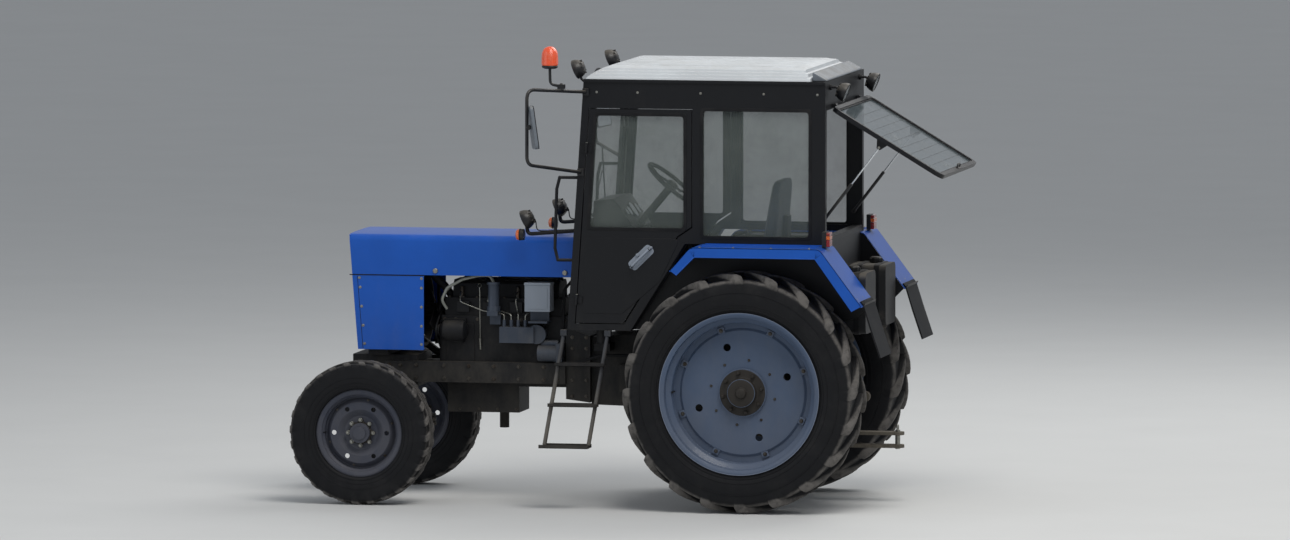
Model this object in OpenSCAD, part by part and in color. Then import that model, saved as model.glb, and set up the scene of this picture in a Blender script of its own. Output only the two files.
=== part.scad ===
// Wheeled towing tractor for aircraft, with an open engine bay, a cab and a rear window that swings up.
// Millimetres. X points forward, Y to the left and Z up. Lengths along X are written from the rear axle,
// and placed() moves the whole vehicle so that the origin is on the ground under its middle.

/* [Wheels] */
// Distance between the front and rear axles
wheelbase = 2450; // [2400:10:2500]
// Distance between the middles of the rear tyres
rear_track = 1500; // [1490:5:1540]
// Distance between the middles of the front tyres
front_track = 1400; // [1390:5:1440]
// Outer radius of a rear tyre, over its lugs
rear_tyre_r = 750; // [735:5:760]
// Width of a rear tyre
rear_tyre_w = 394; // [380:2:400]
// Height of the lugs of a rear tyre
rear_lug_h = 36; // [24:2:42]
// Number of lugs on each side of a rear tyre
rear_lugs = 20; // [16:1:22]
// Radius over the flanges of a rear rim
rear_rim_r = 505; // [495:1:510]
// Width of a rear rim
rear_rim_w = 380; // [360:2:384]
// Outer radius of a front tyre, over its lugs
front_tyre_r = 450; // [440:2:456]
// Width of a front tyre
front_tyre_w = 210; // [200:2:216]
// Height of the lugs of a front tyre
front_lug_h = 14; // [10:1:18]
// Number of lugs on each side of a front tyre
front_lugs = 28; // [24:2:30]
// Radius over the flanges of a front rim
front_rim_r = 272; // [266:1:278]
// Width of a front rim
front_rim_w = 168; // [160:2:172]

/* [Axles and steering] */
// Distance from the middle of a front tyre inwards to its kingpin
kingpin_inset = 146; // [144:1:150]
// Radius of a kingpin
kingpin_r = 25; // [22:0.5:27]
// Radius of the stub axle in a front hub
stub_r = 30; // [26:1:34]
// Radius of a rear axle shaft
shaft_r = 37.5; // [34:0.5:42]
// Radial clearance of a turning fit
running = 0.05; // [0.02:0.01:0.1]
// Length of the steering arms, from pivot to ball pin
arm_l = 150; // [140:2:160]
// Height of the front axle beam's middle
beam_z = 620; // [610:5:630]
// Height and depth of the front axle beam
beam_h = 100; // [80:5:104]

/* [Engine and drive line] */
// Half width of the engine's crankcase
block_half_w = 190; // [170:5:195]
// Height of the joint between crankcase and cylinder head
head_z = 1150; // [1120:10:1180]
// Height of the top of the valve cover
cover_z = 1370; // [1330:10:1400]
// Height of the bottom of the gearbox
gearbox_z = 585; // [560:5:620]

/* [Bonnet and nose] */
// Half width of the bonnet
hood_half_w = 330; // [320:5:340]
// Height of the bonnet's top
hood_top_z = 1665; // [1655:5:1690]
// Height of the bonnet's lower edge
hood_low_z = 1412; // [1400:2:1430]
// Height of the nose panels' lower edge
nose_low_z = 940; // [920:5:960]
// Length of the nose's side panels
nose_l = 480; // [440:10:500]
// Distance from the front axle forwards to the top of the nose
nose_ahead = 165; // [150:5:180]
// Thickness of sheet metal
sheet = 5; // [3:0.5:6]

/* [Cab] */
// Half width of the cab
cab_half_w = 650; // [640:5:660]
// Thickness of the cab's side frames
side_t = 50; // [46:1:56]
// Height of the top of the cab floor
floor_z = 1150; // [1140:5:1160]
// Thickness of the cab floor
floor_t = 40; // [30:2:46]
// Height of the window sills
sill_z = 1745; // [1730:5:1760]
// Height of the underside of the roof frame
head_rail_z = 2500; // [2470:5:2520]
// Height of the joint between roof frame and roof
roof_z = 2680; // [2670:5:2700]
// Height of the roof's top above that joint
roof_h = 78; // [60:2:90]
// Distance from the rear axle forwards to the front of the cab at floor height
cab_front = 1145; // [1135:5:1150]
// How far the windscreen pillars lean back from floor to roof frame
lean = 90; // [70:5:100]
// Distance from the rear axle backwards to the cab's rear face
cab_rear = 490; // [480:5:500]
// Width of the windscreen pillars
a_post_w = 45; // [40:1:50]
// Gap round a door
door_gap = 6; // [5:0.5:8]
// Thickness of a door
door_t = 40; // [34:1:44]
// Thickness of the glass
glass_t = 6; // [4:0.5:7]

/* [Rear window] */
// How far the rear window stands open, in degrees
window_open = 59; // [50:1:62]
// Height of the rear window's frame
window_h = 830; // [820:2:836]
// Thickness of the rear window's frame
window_t = 28; // [24:1:30]

/* [Fenders] */
// Height of the fenders' tops
fender_z = 1659.6; // [1655:0.1:1662]
// Distance from the middle of the tractor to a fender's outer edge
fender_out = 955; // [950:5:975]
// Height of the fenders' outer lip
lip_h = 60; // [50:2:70]

/* [Hitch] */
// Height of the middle of the towing jaw
hitch_z = 400; // [390:5:420]
// Radius of the hole for the towing pin
hitch_pin_r = 16.5; // [14:0.5:18]

/* [Hidden] */
$fn = 48;

BLUE = "#1c5fb4";
BLACK = "#1d1f26";
CAST = "#2c2f36";
GREY = "#9aa0a8";
RUBBER = "#17181b";
WHITE = "#dfe3e6";
RIM = "#8d9bb0";
RED = "#a02a1e";
AMBER = "#d2622a";
CLEAR = [0.7, 0.8, 0.85, 0.35];

// Small gap between pieces that are bolted together
seam = 0.3;
// Radius of the bends in bent tubes, over the tubes' own
bend_over = 0.4;

// Front of the cab's pillars at a height
function pillar_x(z) = cab_front - lean * (z - floor_z) / (head_rail_z - floor_z);

// Y of the outer face of the door and side frames, and of their inner face
side_in = cab_half_w - side_t;
// Middles of the tyres, and the kingpins
rear_y = rear_track / 2;
front_y = front_track / 2;
kingpin_y = front_y - kingpin_inset;
rear_z = rear_tyre_r;
front_z = front_tyre_r;

// Door post between door and side window, front and rear face
b_front = 352;
b_rear = 295;
// Slanting lower rear edge of the door, which clears the rear tyre: low and high end
slope_low = [785, floor_z];
slope_high = [440, 1700];
// Width of the frame member along that edge
slope_w = 40;
rear_post_w = 95;

// Inner walls of the fenders
inner_wall_y = rear_y - rear_tyre_w / 2 - 28;
// Outline of the fenders' top, from the front tip to the rear tip
fender_path = [[434, 1515], [307, fender_z], [-512, fender_z], [-775, 1310]];

// Rear window: hinge axis and the pins of its gas struts
hinge_x = -cab_rear - 20;
hinge_z = head_rail_z + 20;
window_hinge_y = 400;
window_top = 16;
strut_low = [-445, 1790];
strut_up_closed = [55, -390];
strut_y = side_in - 52;
strut_pin_r = 5;
strut_tube_r = 10;
strut_rod_r = 5;
strut_tube_l = 315;
strut_rod_l = 312;
strut_bore_low = 15;
function turned(p, a) = [p[0] * cos(a) + p[1] * sin(a), -p[0] * sin(a) + p[1] * cos(a)];
strut_up = [hinge_x, hinge_z] + turned(strut_up_closed, window_open);
strut_v = strut_up - strut_low;
strut_l = norm(strut_v);
strut_lean = atan2(-strut_v[0], strut_v[1]);

// Middle of the vehicle along X, from the front tyre's tread to the tip of the open rear window
front_end = wheelbase + front_tyre_r;
rear_end = hinge_x + turned([-window_t / 2, -window_h], window_open)[0];
x_mid = round((front_end + rear_end) / 10) * 5;

// An outline drawn in X and Z, from y to y + t
module xz(y, t) { translate([0, y + t, 0]) rotate([90, 0, 0]) linear_extrude(t) children(); }
// An outline drawn in Y and Z, from x to x + t
module yz(x, t) { translate([x, 0, 0]) rotate([90, 0, 90]) linear_extrude(t) children(); }
// An outline drawn in X and Y, from z to z + t
module xy(z, t) { translate([0, 0, z]) linear_extrude(t) children(); }
// A box from three ranges
module box(x, y, z) { translate([x[0], y[0], z[0]]) cube([x[1] - x[0], y[1] - y[0], z[1] - z[0]]); }
// A round bar between two points
module rod(p, q, r) {
    v = q - p;
    translate(p) rotate([0, acos(v[2] / norm(v)), atan2(v[1], v[0])]) cylinder(h = norm(v), r = r);
}
// A bent tube through a list of points
module bent_tube(points, r) {
    for (i = [0 : len(points) - 2]) rod(points[i], points[i + 1], r);
    for (i = [1 : len(points) - 2]) translate(points[i]) sphere(r = r + bend_over);
}
// A round bar along Y
module across(x, z, y, r) { translate([x, y[1], z]) rotate([90, 0, 0]) cylinder(h = y[1] - y[0], r = r); }
// A round bar along X
module along(y, z, x, r) { translate([x[0], y, z]) rotate([0, 90, 0]) cylinder(h = x[1] - x[0], r = r); }
module both_sides() { children(); mirror([0, 1, 0]) children(); }
module on_right() { mirror([0, 1, 0]) children(); }
module rounded(size, r) { offset(r) offset(delta = -r) square(size, center = true); }
module placed() { translate([-x_mid, 0, 0]) children(); }

// Hinges, drawn round the Z axis: the ears hold the pin, and the knuckle turns on it
pin_r = 5;
knuckle_half = 20;
ear_half = 32;
ear_t = ear_half - knuckle_half - seam;
module ears(r) {
    for (z = [-ear_half, knuckle_half + seam]) translate([0, 0, z]) cylinder(h = ear_t, r = r);
    translate([0, 0, -ear_half]) cylinder(h = 2 * ear_half, r = pin_r);
}
module on_ears() {
    for (z = [-ear_half, knuckle_half + seam]) translate([0, 0, z]) linear_extrude(ear_t) children();
}
module knuckle_eye(r) {
    difference() {
        union() {
            translate([0, 0, -knuckle_half]) cylinder(h = 2 * knuckle_half, r = r);
            translate([0, 0, -knuckle_half]) linear_extrude(2 * knuckle_half) children();
        }
        translate([0, 0, -40]) cylinder(h = 80, r = pin_r + running);
    }
}
// Turns a hinge drawn round Z to lie along Y, with its X axis still forward and its Y axis down
module lying() { rotate([-90, 0, 0]) children(); }

// Front of the chassis

support_back = wheelbase - 250;
support_front = wheelbase + 165;
support_z = [700, 900];
support_half_w = 218;
rail_y = support_half_w - 2;
pitman_r = 22;
lug_t = 42;
lug_gap = 8;
pivot_r = 28;
pitman_x = wheelbase - 150;

// Holes for front weights: half spacings across and up, radius and depth
weight_holes = [150, 60];
weight_hole_r = 9;
weight_hole_l = 60;
rail_h = 130;
rail_z = 735;
engine_back = 1240;
module frame_rail() {
    y = rail_y;
    yz(engine_back + seam, support_back + 200 - engine_back) polygon([[y, rail_z], [y + 52, rail_z],
        [y + 52, rail_z + rail_h], [y, rail_z + rail_h], [y, rail_z + rail_h - 10], [y + 42, rail_z + rail_h - 10],
        [y + 42, rail_z + 10], [y, rail_z + 10]]);
}
module half_frame() {
    color(CAST) difference() {
        union() {
            box([support_back, support_front], [-support_half_w, support_half_w], support_z);
            both_sides() frame_rail();
            for (x = [wheelbase - beam_h / 2 - lug_gap - lug_t, wheelbase + beam_h / 2 + lug_gap])
                box([x, x + lug_t], [-70, 70], [beam_z - 60, support_z[0] + 1]);
            translate([pitman_x, 0, 640]) cylinder(h = 61, r = 42);
        }
        along(0, beam_z, [support_back, support_front], pivot_r + seam);
        translate([pitman_x, 0, 600]) cylinder(h = 140, r = pitman_r + running);
        for (y = [-1, 1]) for (z = [-1, 1])
            along(y * weight_holes[0], (support_z[0] + support_z[1]) / 2 + z * weight_holes[1],
                [support_front - weight_hole_l, support_front + 1], weight_hole_r);
    }
}

// Half width of the beam's deep middle part
beam_half_w = 380;
// Sleeve of a kingpin: its radius, and the heights of its ends
sleeve_r = kingpin_r + 16;
sleeve_z = [530, 745];
// Radius of the knuckle's collars above and below the sleeve
collar_r = kingpin_r + 11;
module front_axle() {
    color(CAST) difference() {
        union() {
            box([wheelbase - beam_h / 2, wheelbase + beam_h / 2], [-beam_half_w, beam_half_w],
                [beam_z - beam_h / 2, beam_z + beam_h / 2]);
            box([wheelbase - 38, wheelbase + 38], [-kingpin_y + 20, kingpin_y - 20], [beam_z - 38, beam_z + 38]);
            along(0, beam_z, [wheelbase - beam_h / 2 - lug_gap - lug_t,
                wheelbase + beam_h / 2 + lug_gap + lug_t],
                pivot_r);
            both_sides() translate([wheelbase, kingpin_y, sleeve_z[0]])
                cylinder(h = sleeve_z[1] - sleeve_z[0], r = sleeve_r);
        }
        both_sides() translate([wheelbase, kingpin_y, 500]) cylinder(h = 300, r = kingpin_r + running);
    }
}

// Steering

ball_r = 10;
eye_r = 22;
arm_z = [494, 514];
// Heights of the tie rods: the left one runs under the right one
rod_z = [451, 479];
rod_r = 12;
eye_h = 22;

module steering_arm(x, y) {
    xy(arm_z[0], arm_z[1] - arm_z[0]) hull() {
        translate([x, y]) circle(r = 30);
        translate([x - arm_l, y]) circle(r = 20);
    }
}

module pitman_arm() {
    color(CAST) union() {
        steering_arm(pitman_x, 0);
        translate([pitman_x, 0, arm_z[0]]) cylinder(h = 230, r = pitman_r);
        translate([pitman_x - arm_l, 0, 436]) cylinder(h = arm_z[1] - 436, r = ball_r);
    }
}

module tie_rod(i) {
    inner = [pitman_x - arm_l, 0, rod_z[i]];
    outer = [wheelbase - arm_l, kingpin_y, rod_z[i]];
    v = (outer - inner) / norm(outer - inner);
    difference() {
        union() {
            rod(inner + 12 * v, outer - 12 * v, rod_r);
            for (p = [inner, outer]) translate(p - [0, 0, eye_h / 2]) cylinder(h = eye_h, r = eye_r);
        }
        translate(inner - [0, 0, 40]) cylinder(h = 80, r = ball_r + running);
        translate(outer - [0, 0, 40]) cylinder(h = 80, r = ball_r + 2);
    }
}

module knuckle(i) {
    color(CAST) union() {
        translate([wheelbase, kingpin_y, 470]) cylinder(h = 290, r = kingpin_r);
        translate([wheelbase, kingpin_y, sleeve_z[1] + seam]) cylinder(h = 16, r = collar_r);
        translate([wheelbase, kingpin_y, arm_z[1] - 1])
            cylinder(h = sleeve_z[0] - arm_z[1] + 1 - seam, r = collar_r);
        box([wheelbase - 42, wheelbase + 42], [kingpin_y - 34, kingpin_y + 42], [front_z - 50, arm_z[1]]);
        across(wheelbase, front_z, [kingpin_y + 40, front_y + 60], stub_r);
        steering_arm(wheelbase, kingpin_y);
        translate([wheelbase - arm_l, kingpin_y, rod_z[i] - 14])
            cylinder(h = arm_z[1] - rod_z[i] + 14, r = ball_r);
    }
}

// Wheels. A wheel is drawn round the Z axis and turned to lie along Y, with its outer side towards +Z.

module wheel_at(x, y, z) { translate([x, y, z]) rotate([-90, 0, 0]) children(); }

// Half sections of a rim, outside and inside: columns are radius and distance from the rim's middle
function rim_outside(r, w, well_r) = [
    [r, w / 2], [r, w / 2 - 10], [r - 20, w / 2 - 12], [r - 22, w / 2 - 0.16 * w], [well_r, w / 2 - 0.22 * w]];
function rim_inside(r, w, well_r, wall) = [
    [r - 10, w / 2], [r - 29, w / 2 - 6], [r - 31, w / 2 - 0.16 * w + 8], [well_r - wall, w / 2 - 0.22 * w + 7]];
function other_half(points) = [for (p = points) [p[0], -p[1]]];
function reversed(points) = [for (i = [len(points) - 1 : -1 : 0]) points[i]];
// A half section and its mirror image, as one line
function whole(half) = concat(half, reversed(other_half(half)));

module rim_ring(r, w, well_r, wall) {
    rotate_extrude()
        polygon(concat(whole(rim_outside(r, w, well_r)), reversed(whole(rim_inside(r, w, well_r, wall)))));
}

rear_well_r = 450;
rear_disc_a = 40;
module rear_rim() {
    color(RIM) difference() {
        union() {
            rim_ring(rear_rim_r, rear_rim_w, rear_well_r, 9);
            // Disc, dished towards its edge: columns are radius and place along the axle
            rotate_extrude() polygon([[60, rear_disc_a], [380, rear_disc_a], [396, rear_disc_a - 14],
                [rear_well_r - 8, rear_disc_a - 14], [rear_well_r - 8, rear_disc_a], [402, rear_disc_a],
                [388, rear_disc_a + 14], [60, rear_disc_a + 14]]);
            translate([0, 0, -60]) cylinder(h = 180, r = 88);
            translate([0, 0, rear_disc_a + 13]) cylinder(h = 20, r = 150);
        }
        translate([0, 0, -70]) cylinder(h = 200, r = shaft_r + running);
        for (a = [20 : 90 : 359]) rotate(a) translate([297, 0, 0]) cylinder(h = 80, r = 23.5);
    }
}

front_well_r = 236;
front_disc_a = 16;
module front_rim() {
    color(RIM) difference() {
        union() {
            rim_ring(front_rim_r, front_rim_w, front_well_r, 7);
            // Disc with a raised ring: columns are radius and place along the axle
            rotate_extrude() polygon([[50, front_disc_a], [110, front_disc_a], [150, front_disc_a + 26],
                [186, front_disc_a + 26], [214, front_disc_a - 10], [front_well_r - 6, front_disc_a - 10],
                [front_well_r - 6, front_disc_a], [218, front_disc_a], [190, front_disc_a + 34],
                [146, front_disc_a + 34], [106, front_disc_a + 9], [50, front_disc_a + 9]]);
            translate([0, 0, -70]) cylinder(h = 150, r = 62);
            translate([0, 0, 79]) cylinder(h = 12, r = 40);
        }
        translate([0, 0, -80]) cylinder(h = 145, r = stub_r + running);
        for (a = [0 : 60 : 359]) rotate(a) translate([168, 0, -10]) cylinder(h = 80, r = 15);
    }
}

// Section of a tyre, from bead to bead: columns are share of the height, share of the half width
tyre_shape = [[0.10, 0.93], [0.30, 0.99], [0.52, 1], [0.74, 0.985], [0.90, 0.95], [0.975, 0.86]];
function tyre_section(r, w, rim_r, rim_w, crown) = let (
    bead = rim_w / 2 - 12 - seam, h = r - rim_r,
    side = concat([[rim_r - 20 + seam, bead], [rim_r + 2, bead]],
        [for (p = tyre_shape) [rim_r + 2 + p[0] * (h - 2), p[1] * w / 2]], [[r, crown * w / 2]]))
    whole(side);

// A point on the tread, from its radius, place across and angle
function on_tread(r, a, phi) = [r * cos(phi), r * sin(phi), a];
// Triangles of a block whose points are two rings of four, each low, low, high, high
BLOCK = [[0, 1, 2], [1, 3, 2], [4, 6, 5], [5, 6, 7], [0, 4, 1], [1, 4, 5], [2, 3, 6], [3, 7, 6], [0, 2, 4], [2, 6, 4],
    [1, 5, 3], [3, 5, 7]];
BLOCK_TURNED = [for (f = BLOCK) [f[0], f[2], f[1]]];
// How much wider a lug is at its foot than at its top
lug_foot = 1.15;
// One lug, as a block on the tread from its inner end to its outer end. The columns of ends are
// angle, place across, and radius at the lug's foot and top.
module lug(ends, w, side) {
    half = asin(w / 2 / ends[0][3]);
    points = [for (q = ends) for (i = [2, 3]) for (s = [-1, 1])
        on_tread(q[i], q[1] * side, q[0] + s * half * (i == 2 ? lug_foot : 1))];
    polyhedron(points = points, faces = side < 0 ? BLOCK : BLOCK_TURNED);
}
module lugs(count, ends, w) {
    for (i = [0 : count - 1]) {
        rotate(i * 360 / count) lug(ends, w, 1);
        rotate((i + 0.5) * 360 / count) lug(ends, w, -1);
    }
}

rear_lug_w = 44;
// The inner end leads when the wheel rolls forward
rear_lug_ends = [[0, -0.03 * rear_tyre_w, rear_tyre_r - rear_lug_h - 6, rear_tyre_r],
    [-17, 0.485 * rear_tyre_w, rear_tyre_r - rear_lug_h - 50, rear_tyre_r - 14]];
module rear_tyre() {
    color(RUBBER) union() {
        rotate_extrude()
            polygon(tyre_section(rear_tyre_r - rear_lug_h, rear_tyre_w, rear_rim_r, rear_rim_w, 0.62));
        lugs(rear_lugs, rear_lug_ends, rear_lug_w);
    }
}

front_lug_w = 30;
front_lug_ends = [[0, 0.2 * front_tyre_w, front_tyre_r - front_lug_h - 6, front_tyre_r],
    [-4, 0.47 * front_tyre_w, front_tyre_r - front_lug_h - 38, front_tyre_r - 10]];
module front_tyre() {
    color(RUBBER) union() {
        rotate_extrude()
            polygon(tyre_section(front_tyre_r - front_lug_h, front_tyre_w, front_rim_r, front_rim_w, 0.72));
        lugs(front_lugs, front_lug_ends, front_lug_w);
    }
}

// Engine and drive line

engine_front = wheelbase - 400;
head_half_w = 175;
// Spacing of the inlet ports
port_pitch = (engine_front - engine_back - 300) / 3;
module engine() {
    color(CAST) union() {
        // Crankcase, sump, front plate with the arm to the half frame, and pulley
        box([engine_back, engine_front], [-block_half_w, block_half_w], [760, head_z]);
        box([1560, engine_front - 30], [-150, 150], [540, 761]);
        box([engine_back, 1561], [-150, 150], [705, 761]);
        box([engine_front - 1, engine_front + 16], [-170, 170], [790, 1120]);
        box([engine_front - 1, support_back - seam], [-120, 120], [790, 850]);
        along(0, 930, [engine_front - 1, engine_front + 38], 70);
        // Cylinder head with its ports on the left, and valve cover
        box([engine_back + 40, engine_front - 20], [-head_half_w, head_half_w], [head_z - 1, 1262]);
        yz(engine_back + 70, engine_front - 60 - engine_back - 70) polygon([[-130, 1261], [130, 1261],
            [118, cover_z - 22], [90, cover_z], [-90, cover_z], [-118, cover_z - 22]]);
        for (i = [1 : 3]) translate([engine_back + 120 + port_pitch * i, 0, 0])
            box([0, 80], [head_half_w - 1, head_half_w + 30], [1175, 1240]);
    }
}

// Things bolted to the left side of the engine, with X from the engine's back
fit_y = block_half_w + seam;
filter_x = 460;
pump_x = [200, 420];
pump_z = [990, 1090];
box_x = [85, 245];
module engine_fittings() {
    color(GREY) translate([engine_back, 0, 0]) {
        // Injection pump with its governor and four outlets
        union() {
            box(pump_x, [fit_y, fit_y + 95], pump_z);
            across(pump_x[0] - 14, pump_z[0] + 55, [fit_y, fit_y + 80], 60);
            for (i = [0 : 3]) translate([pump_x[0] + 60 + 45 * i, fit_y + 62, pump_z[1] - 1])
                cylinder(h = 44, r = 11);
        }
        // Fuel filter on its bracket
        translate([filter_x, 0, 0]) union() {
            box([-34, 34], [fit_y, fit_y + 30], [1100, 1170]);
            box([-34, 34], [fit_y + 20, fit_y + 120], [1160, 1190]);
            translate([0, fit_y + 76, 1189]) cylinder(h = 28, r = 42);
            translate([0, fit_y + 76, 1216]) cylinder(h = 140, r = 35);
            translate([0, fit_y + 76, 1355]) cylinder(h = 16, r = 42);
        }
        // Starter, lying along the crankcase
        union() {
            along(fit_y + 66, 926, [50, 175], 50);
            box([14, 52], [fit_y, fit_y + 122], [872, 992]);
            along(fit_y + 40, 985, [51, 160], 24);
        }
        // Box beside the head, on a plate
        union() {
            box(box_x, [fit_y + 30, fit_y + 150], [1195, 1370]);
            box([box_x[0] + 20, box_x[1] - 20], [fit_y, fit_y + 140], [1120, 1132]);
            box([box_x[0] + 20, box_x[1] - 20], [fit_y + 60, fit_y + 72], [1131, 1196]);
        }
    }
}

exhaust_x = engine_front - 290;
exhaust_y = 342;
silencer_z = 640;
module exhaust_pipe() {
    color(CAST) union() {
        box([engine_back + 90, engine_front - 80], [-240, -head_half_w - seam], [1180, 1235]);
        bent_tube([[exhaust_x, -212, 1200], [exhaust_x, -exhaust_y, 1150], [exhaust_x, -exhaust_y, 402]], 30);
        translate([exhaust_x, -exhaust_y, silencer_z]) cylinder(h = 360, r = 62);
    }
}

radiator_x = [wheelbase - 70, wheelbase + 50];
radiator_half_w = 270;
fan_x = engine_front + 75;
fan_z = 1172;
module radiator() {
    color(BLACK) union() {
        box(radiator_x, [-radiator_half_w, radiator_half_w], [support_z[1] + seam, 1540]);
        box([radiator_x[0] - 120, radiator_x[0] + 1], [-250, 250], [960, 1500]);
    }
    color(CAST) union() {
        along(0, fan_z, [engine_front + seam, fan_x + 60], 40);
        for (i = [0 : 5]) translate([fan_x, 0, fan_z]) rotate([60 * i, 0, 0]) translate([0, -36, 30])
            rotate([0, 0, 24]) box([-3, 3], [0, 72], [0, 185]);
        along(0, fan_z, [engine_front + 20, engine_front + 46], 75);
    }
}

nose_back = wheelbase + nose_ahead - nose_l;
nose_drop = 57;
// Front face of the nose at a height
function nose_x(z) = wheelbase + nose_ahead - nose_drop * (hood_top_z - z) / (hood_top_z - nose_low_z);
nose_gap = 6;
grille_y = 262;
grille_z = [1000, 1570];
// A slab that follows the slanting front of the nose, from back to front behind it
module nose_slab(y, z, back, front) {
    xz(y[0], y[1] - y[0]) polygon([[nose_x(z[0]) - back, z[0]], [nose_x(z[0]) - front, z[0]],
        [nose_x(z[1]) - front, z[1]], [nose_x(z[1]) - back, z[1]]]);
}
nose_top = 1610;
module nose() {
    side_top = hood_low_z - nose_gap;
    inner = hood_half_w - sheet;
    color(BLUE) union() {
        both_sides() {
            xz(inner, sheet) polygon([[nose_back, nose_low_z], [nose_x(nose_low_z), nose_low_z],
                [nose_x(side_top), side_top], [nose_back, side_top]]);
            // Flange that rests against the radiator
            box([nose_back + 5, nose_x(nose_low_z) - 12], [radiator_half_w + seam, inner + 2],
                [nose_low_z + 2, nose_low_z + 8]);
        }
        difference() {
            union() {
                nose_slab([-inner - 2, inner + 2], [nose_low_z, side_top], 30, 0);
                nose_slab([-inner + 8, inner - 8], [side_top - 20, nose_top], 30, 0);
            }
            nose_slab([-grille_y, grille_y], grille_z, 60, -30);
        }
    }
}

lamp_w = 190;
lamp_h = 130;
lamp_y = 155;
lamp_z = 1165;
grille_bars = 14;
module grille() {
    gy = grille_y - seam;
    gz = [grille_z[0] + seam, grille_z[1] - seam];
    bar = (gz[1] - gz[0] - 12) / grille_bars;
    color(BLACK) difference() {
        union() {
            difference() {
                nose_slab([-gy, gy], gz, 26, 4);
                nose_slab([-gy + 12, gy - 12], [gz[0] + 12, gz[1] - 12], 40, -10);
            }
            for (i = [1 : grille_bars - 1])
                nose_slab([-gy + 6, gy - 6], [gz[0] + bar * i, gz[0] + bar * i + 12], 22, 8);
            for (i = [-1 : 1]) nose_slab([i * 130 - 5, i * 130 + 5], [gz[0] + 6, gz[1] - 6], 24, 14);
        }
        both_sides() nose_slab([lamp_y - lamp_w / 2 - seam, lamp_y + lamp_w / 2 + seam],
            [lamp_z - lamp_h / 2 - seam, lamp_z + lamp_h / 2 + seam], 60, -30);
    }
}
module headlamps() {
    color(WHITE) both_sides()
        nose_slab([lamp_y - lamp_w / 2, lamp_y + lamp_w / 2], [lamp_z - lamp_h / 2, lamp_z + lamp_h / 2], 58, 0);
}

bell_x = 1085;
// Joint between gearbox and rear axle housing
axle_front = 335;
module gearbox() {
    color(CAST) union() {
        // Clutch housing, which tapers back to the gearbox
        xz(-250, 500) polygon([[bell_x, 620], [engine_back - seam, 640], [engine_back - seam, 1085],
            [bell_x, 1040]]);
        xz(-200, 400) polygon([[axle_front, gearbox_z], [bell_x + 1, gearbox_z + 20], [bell_x + 1, 1030],
            [700, 1060], [axle_front, 1060]]);
        both_sides() {
            box([560, 900], [199, 240], [690, 860]);
            // Front cab mounts
            box([940, 1040], [199, 345], [955, 1000]);
            translate([990, 290, 999]) cylinder(h = floor_z - floor_t - seam - 999, r = 45);
        }
    }
}

pto_r = 17.5;
pto_z = 660;
pto_x = -410;
module rear_axle() {
    color(CAST) union() {
        xz(-245, 490) polygon([[-180, 520], [axle_front - seam, 520], [axle_front - seam, 1085], [-120, 1085],
            [-250, 960], [-250, 640]]);
        both_sides() {
            across(0, rear_z, [244, 330], 165);
            across(0, rear_z, [329, 500], 112);
            across(0, rear_z, [499, 530], 92);
            across(0, rear_z, [529, rear_y + 100], shaft_r);
            box([-75, 75], [300, 420], [rear_z + 90, floor_z - floor_t - seam]);
        }
        along(0, pto_z, [-330, -249], 62);
        along(0, pto_z, [pto_x, -329], pto_r);
        // Rocker shaft of the lift, across the back of the housing
        across(-150, 1055, [-300, 300], 48);
    }
}

hitch_x = -830;
jaw = 60;
module tow_bracket() {
    color(BLACK) difference() {
        union() {
            both_sides() xz(150, 16) polygon([[-120, 520 - seam], [120, 520 - seam], [60, 430], [-330, 330],
                [-420, 330], [-420, 470], [-255, 520 - seam]]);
            box([-420, -372], [-151, 151], [330, 470]);
            // Fork, whose two plates hold the towing pin
            for (z = [hitch_z - jaw / 2 - 20, hitch_z + jaw / 2]) xy(z, 20) hull() {
                translate([hitch_x, 0]) circle(r = 42);
                translate([-421, -60]) square([5, 120]);
            }
            box([-560, -419], [-45, 45], [hitch_z - jaw / 2 - 1, hitch_z + jaw / 2 + 1]);
        }
        translate([hitch_x, 0, hitch_z - 100]) cylinder(h = 200, r = hitch_pin_r);
    }
}

// Cab

// The door's lower rear edge, drawn in by g
function slope_in(g) = [[slope_low[0] + 1.2 * g, floor_z + g], [slope_high[0] + 1.2 * g, slope_high[1] + g],
    [b_front + g, 1760 + g]];
// Outline of the door opening, drawn in by g
function door_outline(g) = concat([[pillar_x(floor_z + g) - a_post_w - g, floor_z + g]], slope_in(g),
    [[b_front + g, head_rail_z - g], [pillar_x(head_rail_z - g) - a_post_w - g, head_rail_z - g]]);
side_window = [[-cab_rear + rear_post_w, 1700], [b_rear, head_rail_z]];

module side_frame() {
    xz(side_in, side_t) difference() {
        polygon([[pillar_x(floor_z - floor_t), floor_z - floor_t], [slope_low[0] - slope_w, floor_z - floor_t],
            [slope_high[0] - slope_w, fender_z + seam], [-cab_rear, fender_z + seam], [-cab_rear, roof_z],
            [pillar_x(roof_z), roof_z]]);
        polygon(door_outline(0));
        translate([side_window[0][0], side_window[0][1]]) square(side_window[1] - side_window[0]);
    }
}

module cab_frame() {
    inner = side_in - seam;
    color(BLACK) {
        both_sides() union() {
            side_frame();
            across(strut_low[0], strut_low[1], [strut_y - 12, side_in + 10], strut_pin_r);
            across(strut_low[0], strut_low[1], [strut_y + strut_tube_r + 0.5, side_in + 10], strut_pin_r + 6);
            for (z = door_hinge_z) door_hinge_at(z) {
                ears(9);
                on_ears() translate([0, -12.5]) square([34, 8]);
            }
        }
        box([pillar_x(roof_z) - 60, pillar_x(roof_z)], [-inner, inner], [head_rail_z, roof_z]);
        union() {
            box([-cab_rear, -cab_rear + 75], [-inner, inner], [head_rail_z, roof_z]);
            both_sides() translate([hinge_x, window_hinge_y, hinge_z]) lying() {
                ears(10);
                on_ears() translate([0, -10]) square([21, 20]);
            }
        }
        box([-cab_rear, -cab_rear + 60], [-inner, inner], [fender_z + seam, 1700]);
    }
}

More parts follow.
